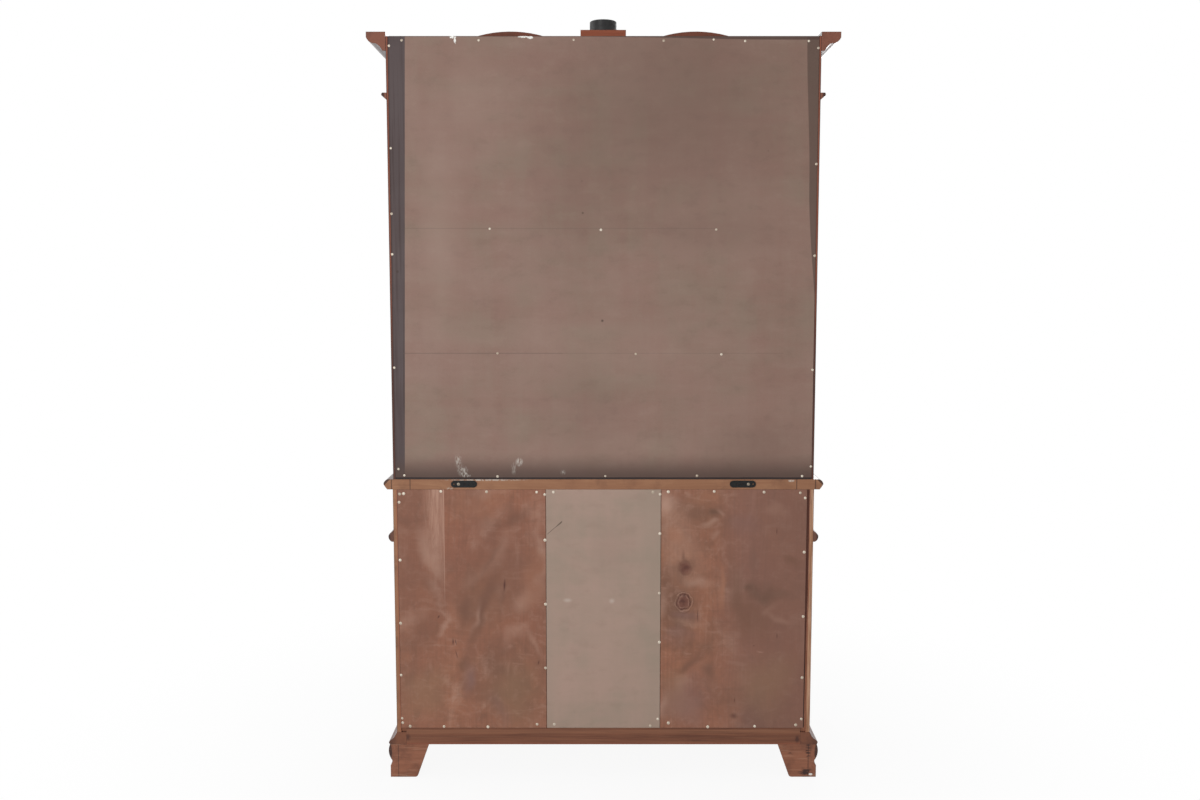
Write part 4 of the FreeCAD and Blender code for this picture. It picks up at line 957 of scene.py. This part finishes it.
def top_edge_marks(colour, where):
    """Rear edge of the base's top: lighter and darker stretches, seams, dust, and dark beds behind the
    plates that are painted shadow with dirt.
    """
    low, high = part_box("base_top")
    middle_up = (low.z + high.z) / 2
    seams = (0.621, 0.566, -0.621, -0.566)
    slant_start, slant_end = 1.5272, 1.5302
    patchy = strands(where, (9, 1, 30), 3.0, 0.6)
    colour = with_layers(colour, (patchy, 0.42, 0.60, 0.45, EDGE_STREAK))
    dusty = ranged(clouds(where, 120.0, 3.0, 0.7), 0.40, 0.60)
    colour = with_marks(colour, where, oval, DUST_WHITE, [
        (0.34, high.z - 0.002, 0.16, 0.004, 0.2, 0.55),
        (0.45, low.z + 0.003, 0.012, 0.005, 0.2, 0.90),
        (-0.55, high.z - 0.004, 0.012, 0.005, 0.2, 0.80),
    ], breakup=dusty)
    colour = with_marks(colour, where, patch, EDGE_STREAK, [(0.0, middle_up, 0.28, 0.02, 0.08, 0.25)])
    colour = with_marks(colour, where, patch, DARK_LINE_AND_SHADOW, [
        (seam, middle_up, 0.0006, 0.02, 0.0012, 0.8) for seam in seams
    ])
    across, up = across_up(where)
    slanting = plus(unsigned(across), up)
    colour = with_layers(colour, (slanting, slant_start, slant_end, 0.85, DARK_LINE_AND_SHADOW))
    for name in ("mending_plate_right", "mending_plate_left"):
        near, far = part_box(name)
        middle, half = (near + far) / 2, (far - near) / 2
        outer_hole = middle.x + math.copysign(half.x * 0.83, middle.x)
        # Dark bed behind each plate: painted shadow, with dirt.
        colour = with_marks(colour, where, patch, PAINTED_SHADOW_BLACK, [
            (middle.x, middle.z, half.x - 0.004, half.z - 0.004, 0.002, 0.95),
        ])
        colour = with_marks(colour, where, oval, EDGE_TAN, [
            (outer_hole, middle.z, 0.0034, 0.0034, 0.7, 0.9),
        ])
    return colour


def base_side_marks(colour, where):
    """Rear edges of the base's sides: a rabbet beside the panel, darkened with painted shade, then a
    reddish line.
    """
    panel_low, panel_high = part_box("base_back_right")
    across, up = across_up(where)
    past_panel = minus(unsigned(across), panel_high.x)
    on_left = ranged(across, 0.1, -0.1)
    streaky = ranged(strands(where, (300, 1, 9)), 0.42, 0.62)
    red_reach = ranged(across, 0.1, -0.1, 0.0045, 0.0025)
    narrowed = times(on_left, ranged(up, 0.20, 0.66, 0.0042, 0.0))
    past_rabbet = plus(past_panel, narrowed)
    in_rabbet = below(past_rabbet, 0.0)
    open_side = times(on_left, ranged(up, 0.30, 0.40))
    # Painted shade in the rabbet beside the panel, above the panel's foot; weaker where the side is open.
    rabbet_shade = times(ranged(past_rabbet, 0.0014, 0.0002),
                      ranged(up, panel_low.z - 0.0004, panel_low.z + 0.0004))
    colour = with_mark(colour, times(on_left, streaky), 0.7, STRIP_PALE)
    colour = with_mark(colour, below(past_panel, red_reach), 0.6, STRIP_RED)
    colour = with_mark(colour, in_rabbet, 0.9, RAIL_BROWN)
    colour = with_mark(colour, in_rabbet, open_side, STRIP_OPEN)
    colour = with_mark(colour, rabbet_shade, ranged(open_side, 0.0, 1.0, 0.92, 0.50), DARK_LINE_AND_SHADOW)
    return with_layers(colour, (past_panel, 0.0105, 0.0125, 0.35, EDGE_DARK))


def hutch_side_marks(colour, where):
    """Rear edges of the hutch's sides: nearly black, with a red-brown line that fades downwards."""
    across, up = across_up(where)
    line = (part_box("hutch_back")[1].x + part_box("hutch_side_right")[1].x) / 2
    off = unsigned(minus(unsigned(across), line))
    return with_layers(
        colour,
        (off, 0.0014, 0.0026, 0.90, DARK_LINE_AND_SHADOW),
        (up, 1.55, 1.20, 0.75, DARK_LINE_AND_SHADOW),
    )


def rail_marks(colour, where):
    """Rear rail: soft pale and dark bands, drawn-out streaks, a reddish foot and smudges."""
    low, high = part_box("base_rear_rail")
    up = parts_of(where)[2]
    for top, foot, strength, tone in (
        (0.007, 0.017, 0.26, RAIL_PALE),
        (0.025, 0.031, 0.30, RAIL_DARK),
        (-0.010, 0.003, 0.50, RAIL_DARK),
    ):
        band = times(ranged(up, high.z - top + 0.004, high.z - top - 0.004),
                     ranged(up, high.z - foot - 0.005, high.z - foot + 0.005))
        colour = with_mark(colour, band, strength, tone)
    drawn_out = strands(where, (3, 1, 190), 4.0, 0.65)
    colour = with_layers(
        colour,
        (drawn_out, 0.52, 0.70, 0.40, RAIL_DARK),
        (drawn_out, 0.48, 0.32, 0.30, RAIL_PALE),
        (up, low.z + 0.009, low.z + 0.001, 0.45, STRIP_RED),
    )
    smudgy = ranged(clouds(where, 70.0, 3.0, 0.65), 0.30, 0.55)
    return with_marks(colour, where, oval, RAIL_DARK, [
        (0.585, low.z + 0.022, 0.012, 0.016, 0.1, 0.85),
        (-0.580, low.z + 0.016, 0.010, 0.016, 0.2, 0.95),
        (-0.28, low.z + 0.012, 0.06, 0.006, 0.0, 0.50),
    ], breakup=smudgy)


def dark_nose(inner, outer, strength):
    """Marks for a moulding's sawn ends: between these distances from the middle they turn dark."""
    def marks(colour, where):
        return with_layers(colour, (unsigned(parts_of(where)[0]), inner, outer, strength, DARK_LINE_AND_SHADOW))
    return marks


def foot_marks(colour, where):
    """Backs of the rear feet: seam of the bracket, dark outside of the bulge, chips and scratches."""
    seam, bulge_middle, bulge_bend = 0.6145, 0.076, -6.5
    across, up = across_up(where)
    side = unsigned(across)
    from_middle = minus(up, bulge_middle)
    bulged = plus(side, times(times(from_middle, from_middle), bulge_bend))
    colour = with_layers(
        colour,
        (unsigned(minus(side, seam)), 0.0018, 0.0006, 0.6, DARK_LINE_AND_SHADOW),
        (bulged, 0.6315, 0.6345, 0.9, DARK_LINE_AND_SHADOW),
    )
    chipped = ranged(strands(where, (40, 1, 160), 3.0, 0.6), 0.45, 0.55)
    colour = with_marks(colour, where, oval, DARK_LINE_AND_SHADOW, [
        (-0.606, 0.014, 0.028, 0.020, 0.4, 0.95),
        (-0.614, 0.080, 0.011, 0.036, 0.3, 0.9),
        (-0.562, 0.074, 0.014, 0.010, 0.0, 0.6),
    ], breakup=chipped)
    colour = with_marks(colour, where, oval, TORN_WHITE, [(-0.622, 0.008, 0.007, 0.004, 0.6, 0.95)])
    scraped = strands(where, (14, 1, 240), 2.0, turn=(0, 0.12, 0))
    return with_layers(colour, (scraped, 0.60, 0.68, 0.3, SCRAPE_PALE))


# ---------------- metal, paint and glass

def metal(name, tones, roughness, specular=0.5, metallic=1.0, scale=220.0, radius=0.0006):
    """Metal with cloudy tarnish and fine wear on its edges."""
    tone, shade = tones
    made, shader, where = new_material(name)
    tarnish = clouds(where, scale, 4.0, 0.6)
    eased = use(EASED, where, Radius=radius, Broken=0.3)
    colour = tinted(ranged(tarnish, 0.35, 0.7), paint(tone), paint(shade))
    worn = tuple(min(255, part + 40) for part in tone)
    set_shader(shader, Base_Color=with_mark(colour, eased["Edge"], 0.4, worn), Metallic=metallic,
               Specular_IOR_Level=specular,
               Roughness=ranged(tarnish, 0.3, 0.7, roughness, roughness + 0.16),
               Normal=relief(tarnish, eased["Normal"], 0.0001, 0.3))
    return made


def glass_material():
    made, shader, where = new_material("window_glass")
    smear = strands(where, (6, 6, 2.5), 4.0, 0.6)
    set_shader(shader, Base_Color=paint(GLASS_TINT), Transmission_Weight=1.0, IOR=1.5,
               Roughness=ranged(smear, 0.4, 0.8, 0.0, 0.05),
               Normal=relief(clouds(where, 3.0, 1.0), None, 0.002, 0.05))
    return made


def screw_material():
    """Dull plated screw heads, each aged a little differently, and darker on the base's top."""
    made, shader, where = new_material("screw_heads")
    age = made.node_tree.nodes.new("ShaderNodeAttribute")
    age.attribute_name = "age"
    grime = clouds(where, 900.0, 3.0)
    worn = times(age.outputs["Fac"], ranged(grime, 0.3, 0.7, 0.4, 1.0))
    colour = tinted(worn, paint(SCREW_PALE), paint(SCREW_AGED))
    low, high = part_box("base_top")
    up = parts_of(where)[2]
    on_top = times(ranged(up, low.z, low.z + 0.002), ranged(up, high.z, high.z - 0.002))
    set_shader(shader, Base_Color=with_mark(colour, on_top, 0.8, SCREW_DULL), Metallic=0.35,
               Roughness=ranged(grime, 0.3, 0.7, 0.34, 0.52))
    return made


# ---------------- screws on the back

def mesh_object(name, points, faces):
    mesh = bpy.data.meshes.new(name)
    mesh.from_pydata(points, [], faces)
    made = bpy.data.objects.new(name, mesh)
    SCENE.collection.objects.link(made)
    return made


def screw_centres():
    """Foot of each screw head, read from the frame: heads stand out past the back's surface."""
    surface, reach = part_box("hutch_back")[1].y - 1e-6, 0.012
    heads = []
    for vertex in NODES["back_screws"].data.vertices:
        point = vertex.co
        if point.y < surface:
            continue
        found = next((head for head in heads
                      if abs(head[0].x - point.x) < reach and abs(head[0].z - point.z) < reach), None)
        if found is None:
            heads.append([point.copy(), point.copy(), point.copy()])
        else:
            found[1] = Vector(map(min, found[1], point))
            found[2] = Vector(map(max, found[2], point))
    return [Vector(((low.x + high.x) / 2, low.y, (low.z + high.z) / 2)) for first, low, high in heads]


def settled(thing, name, body):
    """The evaluated mesh of an object with modifiers, as a plain piece that rides on a body."""
    graph = bpy.context.evaluated_depsgraph_get()
    mesh = bpy.data.meshes.new_from_object(thing.evaluated_get(graph), depsgraph=graph)
    bpy.data.objects.remove(thing)
    made = bpy.data.objects.new(name, mesh)
    SCENE.collection.objects.link(made)
    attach(made, body)
    return made


def joined(*pieces):
    """The geometry of several sockets in one."""
    join = pieces[0].id_data.nodes.new("GeometryNodeJoinGeometry")
    for piece in pieces:
        feed(join.inputs[0], piece)
    return join.outputs[0]


def rounded_off(along, beside):
    """One coordinate of a square sheet, drawn in so that the sheet becomes a disc."""
    return times(along, root(minus(1.0, times(times(beside, beside), 0.5))))


def recess_arm(along, beside):
    """1 on one arm of the cross recess."""
    half_width, half_length = 0.13, 0.5
    return times(below(unsigned(beside), half_width), below(unsigned(along), half_length))


def random_number(seed, low, high, seed_shift):
    """A random number for each screw."""
    draw = seed.id_data.nodes.new("FunctionNodeRandomValue")
    draw.data_type = "FLOAT"
    feed(draw.inputs[2], low)
    feed(draw.inputs[3], high)
    feed(draw.inputs["Seed"], plus(seed, seed_shift))
    return draw.outputs[1]


def screw_tree(material):
    """Geometry tree: a round head with a cross recess and a short shank on every given point."""
    tree, given, out = group("screw_rows", {
        "Geometry": None, "Head Radius": 0.0044, "Upper Level": 0.908, "Upper Scale": 0.82,
        "Head Height": 0.0013, "Recess Depth": 0.0007, "Shank Radius": 0.0017, "Shank Length": 0.018,
        "Seed": 4,
    }, ("Geometry",), "GeometryNodeTree")
    sheet = add(tree, "GeometryNodeMeshGrid", 2.0, 2.0, 19, 19)
    across, deep, up = parts_of(add(tree, "GeometryNodeInputPosition"))
    round_x, round_y = rounded_off(across, deep), rounded_off(deep, across)
    spread = plus(times(round_x, round_x), times(round_y, round_y))
    crown = maths("POWER", larger(minus(1.0, spread), 0.0), 0.62)
    cross = larger(recess_arm(round_x, round_y), recess_arm(round_y, round_x))
    height = minus(times(crown, given["Head Height"]), times(cross, given["Recess Depth"]))
    wide_x, wide_y = times(round_x, given["Head Radius"]), times(round_y, given["Head Radius"])
    top = grow("GeometryNodeSetPosition", sheet, None, combined(wide_x, wide_y, height))
    foot = grow("GeometryNodeSetPosition", sheet, None, combined(wide_x, wide_y, 0.0))
    shell = joined(top, grow("GeometryNodeFlipFaces", foot))
    head = grow("GeometryNodeMergeByDistance", shell, None, 1e-6)
    shank = place(tree, "GeometryNodeMeshCylinder", Vertices=8, Radius=given["Shank Radius"],
                  Depth=given["Shank Length"])
    sunk = combined(0.0, 0.0, times(given["Shank Length"], -0.5))
    stem = place(tree, "GeometryNodeTransform", Geometry=shank.outputs["Mesh"], Translation=sunk)
    screw = joined(head, stem.outputs[0])
    seed = given["Seed"]
    turn = combined(-math.pi / 2, random_number(seed, 0.0, math.pi, 0),
                    random_number(seed, -0.03, 0.03, 5))
    usual = mixed(above(up, given["Upper Level"]), 1.0, given["Upper Scale"])
    copies = place(tree, "GeometryNodeInstanceOnPoints", Points=given["Geometry"], Instance=screw,
                   Rotation=turn, Scale=times(usual, random_number(seed, 0.86, 1.04, 2)))
    aged = tree.nodes.new("GeometryNodeStoreNamedAttribute")
    aged.data_type = "FLOAT"
    aged.domain = "INSTANCE"
    feed(aged.inputs["Geometry"], copies.outputs[0])
    feed(aged.inputs["Name"], "age")
    feed(aged.inputs["Value"], random_number(seed, 0.0, 1.0, 9))
    real = grow("GeometryNodeRealizeInstances", aged.outputs[0])
    feed(out[0], grow("GeometryNodeSetMaterial", real, None, material))
    return tree


def make_screws():
    points = mesh_object("screw_points", screw_centres(), [])
    rows = points.modifiers.new("rows", "NODES")
    rows.node_group = screw_tree(screw_material())
    screws = settled(points, "wood_screws", "cabinet")
    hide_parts("back_screws")


# ---------------- finishes on the frame

def dress(material, *names):
    """Give CAD nodes their finish."""
    for name in names:
        for slot in range(len(NODES[name].data.materials)):
            NODES[name].data.materials[slot] = material


def dress_backs_and_sides():
    dress(hutch_back_material(), "hutch_back")
    dress(centre_back_material(), "base_back_middle")
    dress(right_ply_material(), "base_back_right")
    dress(left_ply_material(), "base_back_left")
    for side, inward in (("right", LEFT), ("left", RIGHT)):
        dress(finished_wood(f"base_{side}_side_wood", "z", [REAR, inward, UP, DOWN],
                            marks=base_side_marks), f"base_side_{side}")
        dress(finished_wood(f"hutch_{side}_side_wood", "z", [REAR, UP, DOWN], STRIP_WOOD,
                            marks=hutch_side_marks), f"hutch_side_{side}")


def dress_mouldings():
    """The top, the four mouldings, the feet and the block: grain runs round their front corners."""
    base_returns = moulding_returns("base_side_right", "base_face_frame")
    hutch_returns = moulding_returns("hutch_side_right", "hutch_face_frame")
    dress(finished_wood("top_wood", "x", [REAR, DOWN], marks=top_edge_marks, crossing=base_returns),
          "base_top")
    for name, tones, returns, marks in (
        ("plinth", PLINTH_WOOD, base_returns, dark_nose(0.612, 0.638, 0.5)),
        ("waist", WAIST_WOOD, base_returns, dark_nose(0.6235, 0.630, 0.85)),
        ("crown", SAWN_WOOD, hutch_returns, None),
        ("astragal", SAWN_WOOD, hutch_returns, dark_nose(0.619, 0.6225, 0.85)),
    ):
        dress(finished_wood(f"{name}_wood", "x", [REAR], tones, ends=True, rim=0.0022, marks=marks,
                            crossing=returns), f"{name}_moulding")
    dress(finished_wood("feet_wood", "x", [REAR, DOWN], FOOT_WOOD, marks=foot_marks,
                        crossing=base_returns), "front_feet", "rear_feet")
    dress(finished_wood("finial_block_wood", "x", [REAR, UP], BLOCK_WOOD, rim=0.002), "finial_block")


def dress_joinery():
    """Face frames, boards, drawers and doors."""
    dress(finished_wood("hutch_frame_wood", "z", [REAR], ARCH_WOOD,
                        crossing=frame_rails(HUTCH_FRAME_RAILS)), "hutch_face_frame")
    dress(finished_wood("base_frame_wood", "z", [REAR], crossing=frame_rails(BASE_FRAME_RAILS)),
          "base_face_frame")
    dress(bare_wood("rear_rail_wood", "x", RAIL_WOOD, rail_marks), "base_rear_rail")
    dress(bare_wood("case_board_wood", "x", CASE_WOOD), "base_bottom", "hutch_lid")
    dress(bare_wood("divider_wood", "y", CASE_WOOD), "drawer_dividers")
    dress(finished_wood("shelf_wood", "x"), "hutch_shelves", "base_shelves")
    for tier in ("frieze_right", "frieze_left", "frieze_middle", "bottom", "centre", "upper"):
        dress(finished_wood(f"{tier}_front_wood", "x", [REAR]), f"drawer_{tier}_front")
        dress(bare_wood(f"{tier}_box_wood", "y", BOX_WOOD), f"drawer_{tier}_box")
    for kind, stile, foot in (("base_door", 0.062, 0.062), ("hutch_door", 0.058, 0.074)):
        for door in (f"{kind}_left", f"{kind}_right"):
            dress(finished_wood(f"{door}_wood", "z", crossing=door_rails(door, stile, foot)), door)


def dress_fittings():
    """Brass, glass, black steel plates, the black drum and the shelf pegs."""
    knobs = [name for name in NODES if name.endswith(("_knobs", "_fittings"))]
    dress(metal("aged_brass", BRASS, 0.28), "hinge_leaves", *knobs)
    dress(glass_material(), "hutch_door_left_glass", "hutch_door_right_glass")
    dress(metal("black_steel", BLACK_STEEL, 0.5, specular=0.2, metallic=0.0),
          "mending_plate_right", "mending_plate_left")
    dress(metal("black_drum_paint", DRUM_BLACK, 0.4, specular=0.35, metallic=0.0, scale=60.0,
                radius=0.002), "finial_drum")
    dress(metal("peg_steel", PEG_STEEL, 0.35), "shelf_pegs")


# ---------------- light, floor and camera

# Lamps: name, place, what it aims at, width and height, power.
LAMPS = (
    ("rear_softbox", (1.8, 4.8, 1.7), (0, 0.2, 1.0), (3.2, 2.4), 112),
    ("front_softbox", (-1.6, -4.8, 2.8), (0, -0.2, 1.0), (3.2, 2.4), 110),
    ("side_softbox", (4.6, -0.6, 2.6), (0, 0, 1.2), (2.4, 2.4), 45),
)
WHITE = (1, 1, 1, 1)
FLOOR_PAINT = (0.9, 0.9, 0.9, 1.0)
ROOM_LIGHT = 0.42


def seen_itself(tree):
    """1 for rays that show a surface itself: straight to the camera, mirrored or through glass."""
    path = tree.nodes.new("ShaderNodeLightPath").outputs
    return larger(path["Is Camera Ray"], larger(path["Is Glossy Ray"], path["Is Transmission Ray"]))


def make_floor():
    """A pale floor that reaches the horizon and keeps the piece's shadow."""
    reach = 40.0
    corners = [(-reach, -reach, 0), (reach, -reach, 0), (reach, reach, 0), (-reach, reach, 0)]
    floor = mesh_object("floor", corners, [(0, 1, 2, 3)])
    made = bpy.data.materials.new("pale_floor")
    made.use_nodes = True
    tree = made.node_tree
    tree.nodes.clear()
    matt = add(tree, "ShaderNodeBsdfDiffuse", FLOOR_PAINT)
    bright = add(tree, "ShaderNodeEmission", WHITE, 1.0)
    across, deep = parts_of(tree.nodes.new("ShaderNodeTexCoord").outputs["Object"])[:2]
    away = root(plus(times(across, across), times(deep, deep)))
    share = ranged(away, 0.5, 2.0, 0.92, 1.0)
    whole = grow("ShaderNodeMixShader", times(seen_itself(tree), share), matt, bright)
    place(tree, "ShaderNodeOutputMaterial", Surface=whole)
    floor.data.materials.append(made)


def make_world():
    world = bpy.data.worlds.new("studio")
    SCENE.world = world
    world.use_nodes = True
    tree = world.node_tree
    tree.nodes.clear()
    soft = add(tree, "ShaderNodeBackground", WHITE, ROOM_LIGHT)
    bright = add(tree, "ShaderNodeBackground", WHITE, 1.0)
    whole = grow("ShaderNodeMixShader", seen_itself(tree), soft, bright)
    place(tree, "ShaderNodeOutputWorld", Surface=whole)


def make_lamps():
    for name, spot, aim, size, power in LAMPS:
        lamp = bpy.data.lights.new(name, "AREA")
        lamp.shape = "RECTANGLE"
        lamp.size, lamp.size_y = size
        lamp.energy = power
        holder = bpy.data.objects.new(name, lamp)
        holder.location = spot
        holder.rotation_euler = (Vector(aim) - Vector(spot)).to_track_quat("-Z", "Y").to_euler()
        holder.visible_camera = False
        SCENE.collection.objects.link(holder)


def make_camera():
    """A camera behind the piece at eye level, tilted slightly down."""
    eye_level, distance, aside, tilt_down = 1.470, 3.346, 0.010, 5.68
    eye = bpy.data.cameras.new("camera")
    eye.lens = 34.71
    eye.sensor_width = 36.0
    eye.clip_end = 200.0
    holder = bpy.data.objects.new("camera", eye)
    holder.location = (aside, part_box("hutch_back")[1].y + distance, eye_level)
    holder.rotation_euler = (math.radians(90 - tilt_down), 0, math.pi)
    SCENE.collection.objects.link(holder)
    SCENE.camera = holder


SCENE.view_settings.view_transform = "Standard"
make_camera()
make_world()
make_lamps()
make_floor()
dress_backs_and_sides()
dress_mouldings()
dress_joinery()
dress_fittings()
make_screws()
